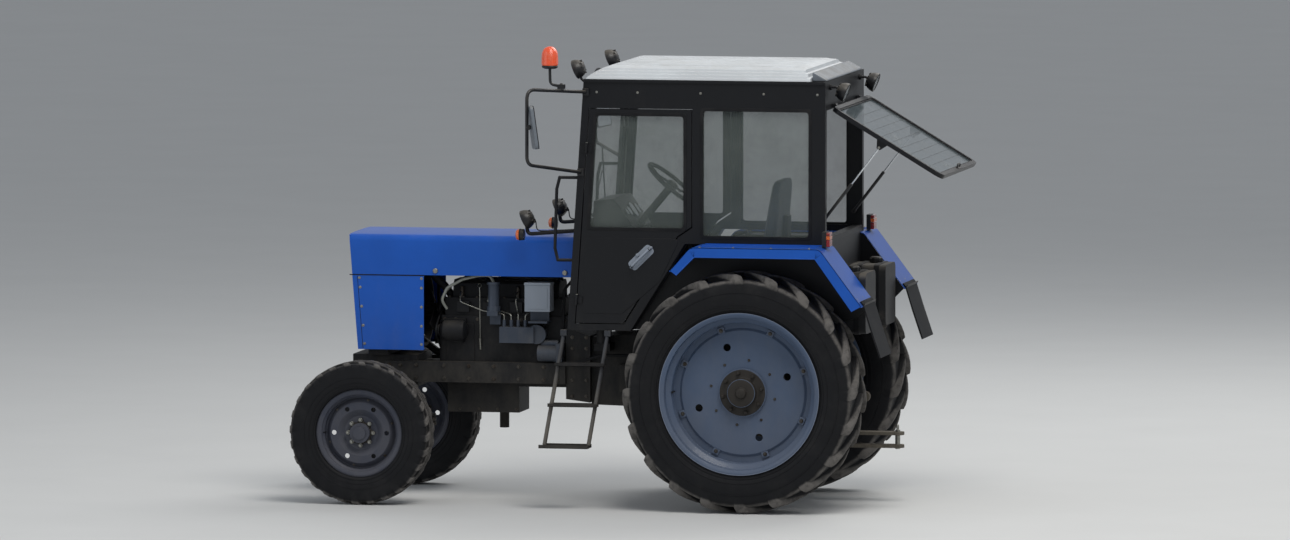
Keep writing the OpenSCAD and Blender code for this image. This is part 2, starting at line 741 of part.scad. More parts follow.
wall_x = pillar_x(sill_z) - 45;
wall_t = 22;
low_glass = [[370, 1380], [560, 1700]];
// Where the floor narrows, and the frame member along the door's slope starts
step_x = slope_low[0] - slope_w;
module cab_tub() {
    wide = side_in - seam;
    narrow = inner_wall_y - seam;
    color(BLACK) union() {
        // Floor, wide in front of the rear tyres and narrow between them
        xy(floor_z - floor_t, floor_t) polygon([[wall_x + wall_t, wide], [step_x, wide], [step_x, narrow],
            [-cab_rear, narrow], [-cab_rear, -narrow], [step_x, -narrow], [step_x, -wide], [wall_x + wall_t, -wide]]);
        // Sloping panels inside the doors' rear edge
        both_sides() xz(narrow - 1, wide - narrow + 1) polygon([[step_x, floor_z - floor_t],
            [step_x + 14, floor_z - floor_t], [slope_high[0] - slope_w + 14, fender_z],
            [slope_high[0] - slope_w, fender_z]]);
        difference() {
            yz(wall_x, wall_t)
                polygon([[-wide, floor_z - 1], [wide, floor_z - 1], [wide, sill_z], [-wide, sill_z]]);
            both_sides() yz(wall_x - 1, wall_t + 2) translate(low_glass[0]) square(low_glass[1] - low_glass[0]);
        }
        yz(-cab_rear, 25)
            polygon([[-narrow, floor_z - 1], [narrow, floor_z - 1], [narrow, fender_z], [-narrow, fender_z]]);
        // Brackets of the bonnet's hinges
        both_sides() translate([hood_hinge[0], hood_hinge_y, hood_hinge[1]]) lying() {
            ears(8);
            on_ears() translate([wall_x + wall_t - 1 - hood_hinge[0], -2])
                square([hood_hinge[0] - wall_x - wall_t + 1, 14]);
        }
    }
}

roof_front = pillar_x(roof_z) - 12;
roof_back = -cab_rear + 95;
roof_half_w = cab_half_w - 5;
ribs = 7;
// Share of the roof's height that its edge has, and share of its width that its top has
roof_edge = 0.36;
roof_flat = 0.76;
module roof_solid(inset) {
    w = roof_half_w - inset;
    h = roof_h - inset;
    hull() {
        box([roof_back + inset, roof_front - inset], [-w, w], [roof_z - 1, roof_z + roof_edge * h]);
        box([roof_back + inset + 45, roof_front - inset - 170], [-roof_flat * w, roof_flat * w],
            [roof_z, roof_z + h]);
    }
}
module cab_roof() {
    color(WHITE) union() {
        difference() {
            roof_solid(0);
            translate([0, 0, -1]) roof_solid(24);
            box([-2000, 2000], [-2000, 2000], [roof_z - 10, roof_z + seam]);
        }
        for (i = [0 : ribs - 1]) {
            y = (i / (ribs - 1) - 0.5) * 2 * (roof_flat * roof_half_w - 50);
            box([roof_back + 60, roof_front - 190], [y - 28, y + 28],
                [roof_z + roof_h - 2, roof_z + roof_h + 12]);
        }
    }
}

// Distance of the windscreen behind the pillars' front, and of the side panes inside the cab's side
glass_in = 34;
pane_in = 26;
// A pane in an opening given by two corners
module pane(q) { translate(q[0] + [seam, seam]) square(q[1] - q[0] - [2 * seam, 2 * seam]); }
module cab_glass() {
    inner = side_in - seam;
    color(CLEAR) {
        // Windscreen: columns are height and distance behind the pillars' front
        xz(-inner, 2 * inner) polygon([for (q = [[sill_z + seam, glass_in], [sill_z + seam, glass_in - glass_t],
            [head_rail_z - seam, glass_in - glass_t], [head_rail_z - seam, glass_in]]) [pillar_x(q[0]) - q[1], q[0]]]);
        both_sides() {
            xz(cab_half_w - pane_in, glass_t) pane(side_window);
            yz(wall_x + 8, glass_t) pane(low_glass);
        }
    }
}

// Steering wheel: middle, tilt and the direction of its shaft
wheel_c = [606, 0, 1984];
wheel_tilt = 40;
wheel_axis = [-sin(wheel_tilt), 0, cos(wheel_tilt)];
module console() {
    color(BLACK) union() {
        xz(-260, 520) polygon([[wall_x - seam, 1500], [wall_x - seam, 1890], [930, 1905], [800, 1720],
            [815, 1500]]);
        box([850, wall_x - seam], [-170, 170], [floor_z + seam, 1501]);
        // Steering column
        rod(wheel_c - 380 * wheel_axis, wheel_c - (22 + seam) * wheel_axis, 24);
    }
    color(CAST) union() {
        translate([560, -90, floor_z + seam]) cylinder(h = 12, r = 40);
        rod([560, -90, floor_z + 6], [500, -90, 1720], 9);
        translate([500, -90, 1720]) sphere(r = 24);
    }
}

module steering_wheel() {
    color(BLACK) translate(wheel_c) rotate([0, -wheel_tilt, 0]) union() {
        rotate_extrude() translate([190, 0]) circle(r = 13);
        for (a = [0 : 120 : 359]) rotate(a) translate([0, 0, -3]) rotate([0, 90, 0]) cylinder(h = 185, r = 8);
        translate([0, 0, -22]) cylinder(h = 34, r = 38);
    }
}

seat_x = [-110, 340];
seat_half_w = 240;
module seat() {
    color(BLACK) union() {
        box([-20, 250], [-170, 170], [floor_z + seam, 1330]);
        box([40, 190], [-110, 110], [1329, 1450]);
        box([seat_x[0], seat_x[1] - 10], [-seat_half_w + 10, seat_half_w - 10], [1449, 1480]);
        xz(-60, 120) polygon([[seat_x[0] - 25, 1450], [seat_x[0] + 14, 1450], [-92 - 2 * seam, 1600],
            [-108.7 - 2 * seam, 1800], [-140, 1800]]);
    }
    color(BLUE) {
        box([seat_x[0] + 22, seat_x[1]], [-seat_half_w, seat_half_w], [1480 + seam, 1590]);
        xz(-seat_half_w + 10, 2 * seat_half_w - 20)
            polygon([[-91.2, 1590 + seam], [7, 1590 + seam], [-34, 2030], [-128, 2030]]);
    }
}

// Fenders, tanks and rear lamps

module fender() {
    path = fender_path;
    color(BLUE) union() {
        xz(inner_wall_y, fender_out - inner_wall_y) polygon(concat(path, [path[3] + [sheet, -sheet / 2],
            path[2] + [2, -sheet], path[1] + [-2, -sheet], path[0] + [-sheet, -sheet / 2]]));
        xz(fender_out - sheet, sheet) polygon(concat(path, [path[3] + [60, -32], path[2] + [24, -lip_h],
            path[1] + [-24, -lip_h], path[0] + [-40, -30]]));
        // Wall between the tyre and the cab
        xz(inner_wall_y, sheet) polygon(concat(path, [path[3] + [110, -105], [-330, floor_z - floor_t],
            [step_x - seam, floor_z - floor_t],
            [slope_high[0] - slope_w - seam - (path[0][1] - fender_z) * 345 / 550, path[0][1]]]));
    }
}
module fenders() { both_sides() fender(); }

// Rear tip of a fender, with the directions up along the sheet and out from it
flap_tip = fender_path[3];
flap_up = (fender_path[2] - flap_tip) / norm(fender_path[2] - flap_tip);
flap_out = [-flap_up[1], flap_up[0]];
flap_t = 10;
flap_end = flap_tip + [-111, -321.5];
module mud_flaps() {
    root = flap_tip + seam * flap_out;
    knee = flap_tip + [-50, -141.5];
    half = [flap_t / 2, 0];
    color(RUBBER) both_sides() xz(inner_wall_y + 20, 360) polygon([root, root + 30 * flap_up,
        root + 30 * flap_up + flap_t * flap_out, root + flap_t * flap_out, knee - half, flap_end - half,
        flap_end + half - [0, 3], knee + half - [0, 3], flap_tip + [-4, -10]]);
}

tank_w = 340;
// Middle of a tank, which hangs inside the fender's wall
tank_y = inner_wall_y - tank_w / 2 - 15;
module fuel_tanks() {
    color(BLACK) both_sides() union() {
        translate([0, tank_y, 1290]) yz(-720, 720 - cab_rear - seam) rounded([tank_w, 380], 45);
        translate([-620, tank_y + 40, 1478]) cylinder(h = 34, r = 34);
    }
}

lamp_r = 62;
module work_lamp(place, tilt, way) {
    translate(place) rotate([0, way * (90 + tilt), 0]) union() {
        translate([0, 0, -22]) cylinder(h = 44, r = lamp_r);
        translate([0, 0, -40]) cylinder(h = 20, r = lamp_r - 18);
    }
}
module work_lamps() {
    color(BLACK) {
        for (s = [1, -1]) scale([1, s, 1]) {
            // Lamps over the windscreen and the rear window, each on a post from the roof frame
            union() {
                work_lamp([1105, 520, 2736], 22, 1);
                rod([pillar_x(roof_z) + 10, 520, 2640], [1088, 520, 2690], 9);
                along(520, 2640, [pillar_x(roof_z) + seam, pillar_x(roof_z) + 12], 18);
            }
            union() {
                work_lamp([-578, 500, 2612], 22, -1);
                rod([-cab_rear - 6, 500, 2640], [-560, 500, 2612], 9);
                along(500, 2640, [-cab_rear - 12, -cab_rear - seam], 18);
            }
            // Brackets beside the bonnet, each with a driving lamp
            union() {
                work_lamp([1436, 500, 1790], 26, 1);
                box([wall_x + wall_t + seam, wall_x + wall_t + 8], [460, 540], [1702, 1742]);
                bent_tube([[wall_x + wall_t + 4, 500, 1722], [1440, 500, 1692], [1436, 500, 1745]], 12);
            }
        }
    }
}

module signal_lamps() {
    color(AMBER) for (s = [1, -1]) scale([1, s, 1]) {
        along(500, 1690, [1440 + 12 + bend_over + seam, 1510], 36);
        // Tail lamps, on the fenders' rear corners
        box([-546, -496], [700, 800], [fender_z + seam, 1758]);
    }
}

// Bar of a mirror: its outer corner beyond the cab, and the heights of its ends
mirror_out = [cab_front + 175, cab_half_w + 400];
mirror_z = [roof_z - 80, roof_z - 582];
module mirror_arm() {
    points = [[pillar_x(mirror_z[0]) - 20, cab_half_w + 12, mirror_z[0]],
        [mirror_out[0], mirror_out[1], mirror_z[0] + 36], [mirror_out[0], mirror_out[1], mirror_z[1] + 70],
        [pillar_x(mirror_z[1]) - 20, cab_half_w + 12, mirror_z[1]]];
    bent_tube(points, 11);
    for (p = [points[0], points[3]])
        box([p[0] - 20, p[0] + 20], [cab_half_w + seam, cab_half_w + 14], [p[2] - 22, p[2] + 22]);
    // Mirror, turned towards the driver
    translate([mirror_out[0] - 36, mirror_out[1] - 10, roof_z - 280]) rotate([0, 8, 0]) rotate([0, 0, 20])
        cube([26, 170, 270], center = true);
    across(mirror_out[0] - 14, roof_z - 280, [mirror_out[1] - 20, mirror_out[1] + 12], 10);
}
module mirrors() { color(BLACK) both_sides() mirror_arm(); }

// Beacon, on a stem that is clamped to the left mirror's bar
beacon_at = [cab_front + 79, cab_half_w + 162, roof_z + 72];
clamp_at = [cab_front + 5, cab_half_w + 167, roof_z - 52.2];
module beacon() {
    color(AMBER) translate(beacon_at) union() {
        cylinder(h = 22, r = 46);
        translate([0, 0, 21]) cylinder(h = 78, r1 = 52, r2 = 46);
        translate([0, 0, 98]) intersection() {
            sphere(r = 46);
            box([-60, 60], [-60, 60], [-5, 60]);
        }
    }
    color(BLACK) union() {
        bent_tube([clamp_at + [0, -1, 13], [beacon_at[0], beacon_at[1], roof_z - 12],
            beacon_at - [0, 0, seam]], 9);
        translate(clamp_at) box([-22, 22], [-21, 21], [0, 27]);
    }
}

// Loop of a handrail: columns are distance ahead of the cab's front, distance inside its side, and height
RAIL = [[55, 20, 2062], [73, 18, 1990], [85, 18, 1620], [67, 20, 1545]];
rail_in = 25;
module handrails() {
    ends = [for (z = [RAIL[0][2], RAIL[3][2]]) [pillar_x(z) + 1, cab_half_w - rail_in, z]];
    color(BLACK) both_sides()
        bent_tube(concat([ends[0]], [for (p = RAIL) [cab_front + p[0], cab_half_w - p[1], p[2]]],
            [ends[1]]), 10);
}

// Ladder: heights of its treads, its top and foot, half its width, and the section of its rails
tread_z = [900, 650, 400];
ladder_top = [cab_front - 115, cab_half_w - 10, floor_z - floor_t - 12];
ladder_foot = [cab_front - 23, cab_half_w + 150, tread_z[2]];
ladder_half = 140;
ladder_rail = [24, 30];
tread_t = 24;
module ladder() {
    // Point of the ladder's middle line at a height
    function line(z) = ladder_foot
        + (ladder_top - ladder_foot) * (z - ladder_foot[2]) / (ladder_top[2] - ladder_foot[2]);
    color(BLACK) union() {
        for (s = [-1, 1]) translate([s * ladder_half, 0, 0]) {
            hull() for (p = [ladder_foot, ladder_top]) translate(p)
                cube([ladder_rail[0], ladder_rail[1], 2], center = true);
            translate([ladder_top[0], ladder_top[1], 0])
                box([-20, 20], [-24, 24], [ladder_top[2] - 24, floor_z - floor_t - seam]);
        }
        for (z = tread_z) translate(line(z)) box([-ladder_half - 18, ladder_half + 18],
            [-20, z == tread_z[2] ? 110 : 50], [-tread_t / 2, tread_t / 2]);
    }
}

// Doors, bonnet and rear window

door_hinge_y = cab_half_w + 12;
door_hinge_z = [1300, 2250];
module door_hinge_at(z) {
    translate([pillar_x(z) - a_post_w - door_gap / 2, door_hinge_y, z])
        rotate([0, -atan(lean / (head_rail_z - floor_z)), 0]) children();
}
// Ends of the door handle, which slants near the door's free edge, and its distance from the door
handle = [[735, 1513], [620, 1626]];
handle_out = 33;
// Outline of the door's window, drawn in by g
door_rail = 38;
door_head_z = head_rail_z - 36;
function door_window(g) = [[b_front + door_gap + 40 + g, sill_z + g],
    [pillar_x(sill_z) - a_post_w - door_gap - door_rail - g, sill_z + g],
    [pillar_x(door_head_z) - a_post_w - door_gap - door_rail - g, door_head_z - g],
    [b_front + door_gap + 40 + g, door_head_z - g]];
module door_panel() {
    color(BLACK) union() {
        xz(cab_half_w - door_t, door_t) difference() {
            polygon(door_outline(door_gap));
            polygon(door_window(0));
        }
        for (z = door_hinge_z) door_hinge_at(z) knuckle_eye(9) translate([-34, -12.5]) square([34, 8]);
        rod([handle[0][0], cab_half_w + handle_out, handle[0][1]],
            [handle[1][0], cab_half_w + handle_out, handle[1][1]], 9);
        for (p = handle) across(p[0], p[1], [cab_half_w - 1, cab_half_w + handle_out], 9.5);
    }
}
module door_pane() { color(CLEAR) xz(cab_half_w - pane_in, glass_t) polygon(door_window(seam)); }
module door_left() { door_panel(); }
module door_left_glass() { door_pane(); }
module door_right() { on_right() door_panel(); }
module door_right_glass() { on_right() door_pane(); }

hood_hinge = [1122, 1640];
hood_hinge_y = 200;
hood_back = 1116;
hood_front = wheelbase + nose_ahead;
hood_round = 40;
// Section of the bonnet across, with its corners cut twice, for a half width, a lower edge and a share of sheet
function hood_section(w, low, s) = let (r = hood_round, half = [[w, low], [w, hood_top_z - r],
    [w - 0.29 * r + 0.3 * s, hood_top_z - 0.29 * r], [w - r + s, hood_top_z]])
    concat(half, [for (i = [3 : -1 : 0]) [-half[i][0], half[i][1]]]);
module hood() {
    color(BLUE) union() {
        both_sides() translate([hood_hinge[0], hood_hinge_y, hood_hinge[1]]) lying() knuckle_eye(8)
            translate([-5, hood_hinge[1] - hood_top_z + 1]) square([10, hood_top_z - hood_hinge[1] - 1]);
        intersection() {
            difference() {
                yz(hood_back, hood_front + 10 - hood_back) polygon(hood_section(hood_half_w, hood_low_z, 0));
                translate([-sheet, 0, -sheet]) yz(hood_back - 20, hood_front + 18 - hood_back)
                    polygon(hood_section(hood_half_w - sheet, 0, sheet));
                box([hood_front - 200, hood_front + 200], [-hood_half_w + sheet, hood_half_w - sheet],
                    [hood_low_z - 100, nose_top + nose_gap]);
            }
            xz(-500, 1000) polygon([[hood_back, hood_low_z - 10], [nose_x(hood_low_z), hood_low_z],
                [nose_x(hood_top_z), hood_top_z], [hood_back, hood_top_z + 10]]);
        }
    }
}

module window_turned(angle) { translate([hinge_x, 0, hinge_z]) rotate([0, angle, 0]) children(); }
window_half_w = cab_half_w - 50;
window_rail = 30;
window_mid = (window_h + window_top) / 2;
module rear_window() {
    color(BLACK) window_turned(window_open) union() {
        yz(-window_t / 2, window_t) translate([0, -window_mid]) difference() {
            rounded([2 * window_half_w, window_h - window_top], 60);
            rounded([2 * (window_half_w - window_rail), window_h - window_top - 2 * window_rail], 34);
        }
        both_sides() translate([0, window_hinge_y, 0]) lying() knuckle_eye(10)
            translate([-6, 0]) square([12, window_top + 1]);
        // Lugs that the struts reach
        for (s = [-1, 1]) xz(s * (strut_y + 22) - 5, 10) polygon([[window_t / 2 - 1, strut_up_closed[1] + 40],
            strut_up_closed + [12, 12], strut_up_closed + [12, -12],
            [window_t / 2 - 1, strut_up_closed[1] - 40]]);
    }
}
module rear_window_glass() {
    color(CLEAR) window_turned(window_open) yz(-glass_t / 2, glass_t) translate([0, -window_mid])
        rounded([2 * (window_half_w - window_rail - seam), window_h - window_top - 2 * (window_rail + seam)],
            34);
}

// A strut is drawn up from its lower pin, and leaned back to meet the window's lug
module strut_at(s) {
    translate([strut_low[0], s * strut_y, strut_low[1]]) rotate([0, -strut_lean, 0]) children();
}
module strut_tube(s) {
    color(BLACK) strut_at(s) difference() {
        union() {
            translate([0, 0, 10]) cylinder(h = strut_tube_l - 10, r = strut_tube_r);
            across(0, 0, [-6, 6], 14);
        }
        translate([0, 0, strut_bore_low]) cylinder(h = strut_tube_l, r = strut_rod_r + running);
        across(0, 0, [-20, 20], strut_pin_r + 0.3);
    }
}
module strut_rod(s) {
    color(GREY) strut_at(s) difference() {
        union() {
            translate([0, 0, strut_l - strut_rod_l]) cylinder(h = strut_rod_l - 8, r = strut_rod_r);
            across(0, strut_l, [-7, 7], 11);
        }
        across(0, strut_l, [-20, 20], strut_pin_r + 1);
    }
}

placed() half_frame();
placed() front_axle();
placed() engine();
placed() engine_fittings();
placed() exhaust_pipe();
placed() radiator();
placed() nose();
placed() grille();
placed() headlamps();
placed() gearbox();
placed() rear_axle();
placed() tow_bracket();
placed() cab_frame();
placed() cab_tub();
placed() cab_roof();
placed() cab_glass();
placed() console();
placed() steering_wheel();
placed() seat();
placed() fenders();
placed() mud_flaps();
placed() signal_lamps();
placed() work_lamps();
placed() beacon();
placed() mirrors();
placed() handrails();
placed() ladder();
placed() fuel_tanks();
placed() hood();
placed() door_left();
placed() door_left_glass();
placed() door_right();
placed() door_right_glass();
placed() rear_window();
placed() rear_window_glass();
placed() strut_tube(1);  // strut_tube_left
placed() strut_tube(-1);  // strut_tube_right
placed() strut_rod(1);  // strut_rod_left
placed() strut_rod(-1);  // strut_rod_right
placed() pitman_arm();
placed() color(CAST) tie_rod(0);  // tie_rod_left
placed() color(CAST) on_right() tie_rod(1);  // tie_rod_right
placed() knuckle(0);  // knuckle_left
placed() on_right() knuckle(1);  // knuckle_right
placed() wheel_at(wheelbase, front_y, front_z) front_rim();  // rim_front_left
placed() on_right() wheel_at(wheelbase, front_y, front_z) front_rim();  // rim_front_right
placed() wheel_at(0, rear_y, rear_z) rear_rim();  // rim_rear_left
placed() on_right() wheel_at(0, rear_y, rear_z) rear_rim();  // rim_rear_right
placed() wheel_at(wheelbase, front_y, front_z) front_tyre();  // tyre_front_left
placed() on_right() wheel_at(wheelbase, front_y, front_z) front_tyre();  // tyre_front_right
placed() wheel_at(0, rear_y, rear_z) rear_tyre();  // tyre_rear_left
placed() on_right() wheel_at(0, rear_y, rear_z) rear_tyre();  // tyre_rear_right
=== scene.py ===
"""Looks of a wheeled towing tractor for aircraft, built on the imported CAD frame.

Lengths are millimetres in the helpers, with X from the rear axle as in the CAD source, and metres in Blender.
"""

from math import cos, pi, radians, sin, tan

import bmesh
import bpy
from mathutils import Matrix, Vector

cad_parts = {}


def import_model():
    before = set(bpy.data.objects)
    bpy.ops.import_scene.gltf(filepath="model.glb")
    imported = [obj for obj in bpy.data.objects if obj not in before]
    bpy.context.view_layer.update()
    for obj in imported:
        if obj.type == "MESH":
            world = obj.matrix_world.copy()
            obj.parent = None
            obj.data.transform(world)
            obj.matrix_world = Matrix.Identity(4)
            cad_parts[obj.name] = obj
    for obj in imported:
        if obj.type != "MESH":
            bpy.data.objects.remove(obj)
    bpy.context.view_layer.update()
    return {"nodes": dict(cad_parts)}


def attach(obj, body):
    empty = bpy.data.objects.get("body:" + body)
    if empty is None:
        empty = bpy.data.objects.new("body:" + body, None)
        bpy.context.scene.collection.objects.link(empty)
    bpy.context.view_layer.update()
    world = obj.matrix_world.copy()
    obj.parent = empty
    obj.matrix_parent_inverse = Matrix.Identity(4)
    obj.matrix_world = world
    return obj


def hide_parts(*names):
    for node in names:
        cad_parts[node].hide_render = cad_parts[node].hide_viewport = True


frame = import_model()
CAD = frame["nodes"]
X_MID = 835
MM = 0.001


def world(p):
    """A point in tractor millimetres as frame metres."""
    return Vector(((p[0] - X_MID) * MM, p[1] * MM, p[2] * MM))


# Materials

class Nodes:
    """A material's node tree, written as calls that return sockets."""

    def __init__(self, name, slot, **sockets):
        self.material = bpy.data.materials.new(name)
        self.material["slot"] = slot
        self.material.use_nodes = True
        self.tree = self.material.node_tree
        self.shader = self.tree.nodes["Principled BSDF"]
        for key, value in sockets.items():
            self.shader.inputs[key.replace("_", " ")].default_value = value
        self.place = self.node("ShaderNodeTexCoord").outputs["Object"]

    def node(self, kind, **values):
        made = self.tree.nodes.new(kind)
        for key, value in values.items():
            setattr(made, key, value)
        return made

    def plug(self, made, key, value):
        if hasattr(value, "links"):
            self.tree.links.new(value, made.inputs[key])
        elif value is not None:
            made.inputs[key].default_value = value

    def noise(self, scale, detail=4, rough=0.6, place=None):
        made = self.node("ShaderNodeTexNoise")
        self.plug(made, "Vector", place or self.place)
        for key, value in (("Scale", scale), ("Detail", detail), ("Roughness", rough)):
            self.plug(made, key, value)
        return made.outputs["Fac"]

    def cells(self, scale):
        made = self.node("ShaderNodeTexVoronoi", feature="SMOOTH_F1")
        self.plug(made, "Vector", self.place)
        self.plug(made, "Scale", scale)
        return made.outputs["Distance"]

    def bands(self, scale, letter):
        made = self.node("ShaderNodeTexWave", wave_type="BANDS", bands_direction=letter)
        self.plug(made, "Vector", self.place)
        self.plug(made, "Scale", scale)
        return made.outputs["Fac"]

    def math(self, operation, a, b=None, clamp=False):
        made = self.node("ShaderNodeMath", operation=operation, use_clamp=clamp)
        self.plug(made, 0, a)
        self.plug(made, 1, b)
        return made.outputs[0]

    def ramp(self, value, low, high, a=0.0, b=1.0):
        made = self.node("ShaderNodeMapRange", interpolation_type="SMOOTHSTEP")
        for key, number in (("Value", value), ("From Min", low), ("From Max", high), ("To Min", a), ("To Max", b)):
            self.plug(made, key, number)
        return made.outputs["Result"]

    def mix(self, share, a, b):
        made = self.node("ShaderNodeMix", data_type="RGBA")
        for key, value in (("Factor", share), (6, a), (7, b)):
            self.plug(made, key, value)
        return made.outputs[2]

    def axis(self, letter, socket=None):
        made = self.node("ShaderNodeSeparateXYZ")
        self.plug(made, 0, socket or self.place)
        return made.outputs["XYZ".index(letter)]

    def upward(self):
        """How far the surface faces up, from 0 to 1."""
        return self.ramp(self.axis("Z", self.node("ShaderNodeNewGeometry").outputs["Normal"]), 0.1, 1.0)

    def bump(self, height, strength, distance):
        made = self.node("ShaderNodeBump")
        for key, value in (("Height", height), ("Strength", strength), ("Distance", distance)):
            self.plug(made, key, value)
        before = self.shader.inputs["Normal"]
        if before.is_linked:
            self.plug(made, "Normal", before.links[0].from_socket)
        self.plug(self.shader, "Normal", made.outputs[0])

    def set(self, **sockets):
        for key, value in sockets.items():
            self.plug(self.shader, key.replace("_", " "), value)
        return self.material


def rgb(code, alpha=1.0):
    """A colour as it is seen, from its hexadecimal code."""
    parts = [int(code[i:i + 2], 16) / 255 for i in (0, 2, 4)]
    return tuple(v / 12.92 if v <= 0.04045 else ((v + 0.055) / 1.055) ** 2.4 for v in parts) + (alpha,)


def darker(colour, share):
    return tuple(v * share for v in colour[:3]) + (1,)


DUST = rgb("8d8577")
SOIL = rgb("686562")


def paint(name, slot, colour, rough, dust=0.35, wear=0.25, coat=0.0, metal=0.0, grain=0.0, worn="3a3c40"):
    """Painted metal: cloudy colour, dust that gathers low down and on upper faces, chips, and a fine orange peel."""
    n = Nodes(name, slot, Metallic=metal, Coat_Weight=coat, Coat_Roughness=0.12, Specular_IOR_Level=0.32)
    cloud = n.noise(2.6, 6)
    base = n.mix(n.ramp(cloud, 0.3, 0.75), darker(colour, 0.86), colour)
    streak = n.node("ShaderNodeMapping")
    n.plug(streak, "Vector", n.place)
    streak.inputs["Scale"].default_value = (3, 3, 1.4)
    runs = n.noise(3.0, 5, 0.7, streak.outputs[0])
    low = n.ramp(n.axis("Z"), 1.5, 0.3)
    soft = n.math("ADD", n.math("MULTIPLY", low, 0.55), n.math("MULTIPLY", n.upward(), 0.35))
    cover = n.math("MULTIPLY", n.ramp(n.math("ADD", runs, soft), 0.55, 1.25), dust * 1.6, clamp=True)
    base = n.mix(cover, base, DUST)
    chips = n.math("MULTIPLY", n.ramp(n.noise(38, 8, 0.72), 0.66, 0.69), n.ramp(n.noise(5, 2), 0.52, 0.7))
    chips = n.math("MULTIPLY", chips, wear * 2, clamp=True)
    base = n.mix(chips, base, rgb(worn))
    n.set(Base_Color=base, Roughness=n.ramp(n.math("ADD", cover, n.math("MULTIPLY", cloud, 0.2)), 0, 1, rough, 0.85))
    n.bump(n.noise(620, 2), 0.06, 0.002)
    n.bump(n.noise(6, 2), 0.10, 0.01)
    if grain:
        n.bump(n.noise(160, 6, 0.7), grain, 0.003)
    return n.material


def plastic(name, slot, colour, rough=0.5, dust=0.3, scale=900, strength=0.25):
    """Moulded plastic with a fine leather-like grain and settled dust."""
    n = Nodes(name, slot)
    settled = n.math("ADD", n.noise(7, 6), n.math("MULTIPLY", n.upward(), 0.3))
    cover = n.math("MULTIPLY", n.ramp(settled, 0.5, 1.0), dust)
    base = n.mix(cover, n.mix(n.noise(14, 3), colour, darker(colour, 0.75)), DUST)
    n.set(Base_Color=base, Roughness=n.ramp(cover, 0, 0.6, rough, 0.9))
    n.bump(n.cells(scale), strength, 0.0006)
    return n.material


def rubber(name, slot, radius=None):
    """Rubber. On a tyre the brown follows the distance from the axle, so the lug tips and the shoulder are brownest:
    partly dust, partly a painted highlight on the lug ends.
    """
    n = Nodes(name, slot, Specular_IOR_Level=0.25)
    tone = n.mix(n.noise(9, 7), rgb("0a0b0e"), rgb("121317"))
    if radius:
        x2, y2, z2 = (n.math("MULTIPLY", n.axis(k), n.axis(k)) for k in "XYZ")
        away = n.math("SQRT", n.math("ADD", x2, z2))
        # The tread is crowned, so its shoulders are raised to the height of its middle before they are compared
        reach = n.math("ADD", away, n.math("MULTIPLY", y2, 1.5))
        # The brown on the lug tips and shoulder is dust and also a painted highlight standing in for sunlit lug ends
        tread = n.ramp(n.math("ADD", reach, n.math("MULTIPLY", n.noise(14, 6), 0.02)), radius - 0.002, radius + 0.014)
        film = n.ramp(n.noise(5, 8, 0.7), 0.45, 0.85, 0.0, 0.09)
        cover = n.math("MAXIMUM", n.math("MULTIPLY", tread, n.ramp(n.noise(22, 6), 0.25, 0.6, 0.35, 0.95)), film)
    else:
        cover = n.ramp(n.noise(8, 8, 0.7), 0.4, 0.8, 0.0, 0.1)
    n.set(Base_Color=n.mix(cover, tone, SOIL), Roughness=n.ramp(cover, 0, 0.8, 0.62, 0.95))
    n.bump(n.noise(260, 5), 0.18, 0.0012)
    n.bump(n.noise(30, 4), 0.12, 0.004)
    return n.material


def metal(name, slot, colour, rough=0.3, stain=0.3, scale=70):
    """Bare or plated metal with a fine grain, smudges and a little brown in patches."""
    n = Nodes(name, slot, Metallic=1.0)
    smudge = n.ramp(n.noise(scale / 6, 7, 0.7), 0.4, 0.75)
    base = n.mix(n.math("MULTIPLY", smudge, stain), colour, rgb("4e4138"))
    n.set(Base_Color=base, Roughness=n.ramp(smudge, 0, 1, rough, min(rough + stain, 0.95)))
    n.bump(n.noise(scale * 8, 3), 0.08, 0.0006)
    return n.material


def glass(name, slot, colour, rough=0.03, film=0.12):
    """Thin tinted glass, with a cloudy dusty film."""
    n = Nodes(name, slot, Specular_IOR_Level=0.5, IOR=1.45)
    dirt = n.math("MULTIPLY", n.ramp(n.noise(6, 8, 0.65), 0.35, 0.85), film)
    n.set(Base_Color=n.mix(dirt, colour, DUST),
          Alpha=n.math("ADD", n.math("MULTIPLY", dirt, 0.9), colour[3], clamp=True),
          Roughness=n.ramp(dirt, 0, film, rough, 0.35))
    n.material.surface_render_method = "BLENDED"
    return n.material


def lens(name, slot, colour, glow=0.0, rough=0.12, pitch=240):
    """Coloured lamp plastic with moulded prisms under a clear skin."""
    n = Nodes(name, slot, Coat_Weight=0.8, Coat_Roughness=0.05, Subsurface_Weight=0.15, Subsurface_Scale=0.01)
    n.shader.inputs["Subsurface Radius"].default_value = (1.0, 0.4, 0.2)
    dirt = n.ramp(n.noise(18, 6), 0.45, 0.8, 0.0, 0.3)
    n.set(Base_Color=n.mix(dirt, colour, DUST), Roughness=n.ramp(dirt, 0, 0.3, rough, 0.6))
    n.bump(n.bands(pitch / 3, "Z"), 0.35, 0.002)
    if glow:
        n.shader.inputs["Emission Color"].default_value = colour
        n.shader.inputs["Emission Strength"].default_value = glow
    return n.material


def cloth(name, slot, colour, second):
    """Woven seat cloth: crossing threads, pilling and worn patches."""
    n = Nodes(name, slot, Sheen_Weight=0.35, Sheen_Roughness=0.5, Roughness=0.92)
    waves = [n.bands(140, letter) for letter in "XYZ"]
    weave = n.math("MULTIPLY", n.math("MAXIMUM", waves[0], waves[2]), n.math("ADD", waves[1], 0.3))
    worn = n.ramp(n.noise(7, 6), 0.35, 0.75)
    n.set(Base_Color=n.mix(n.math("MULTIPLY", weave, 0.7), n.mix(worn, colour, second), darker(colour, 0.4)))
    n.bump(weave, 0.5, 0.0012)
    n.bump(n.noise(40, 4), 0.2, 0.004)
    return n.material


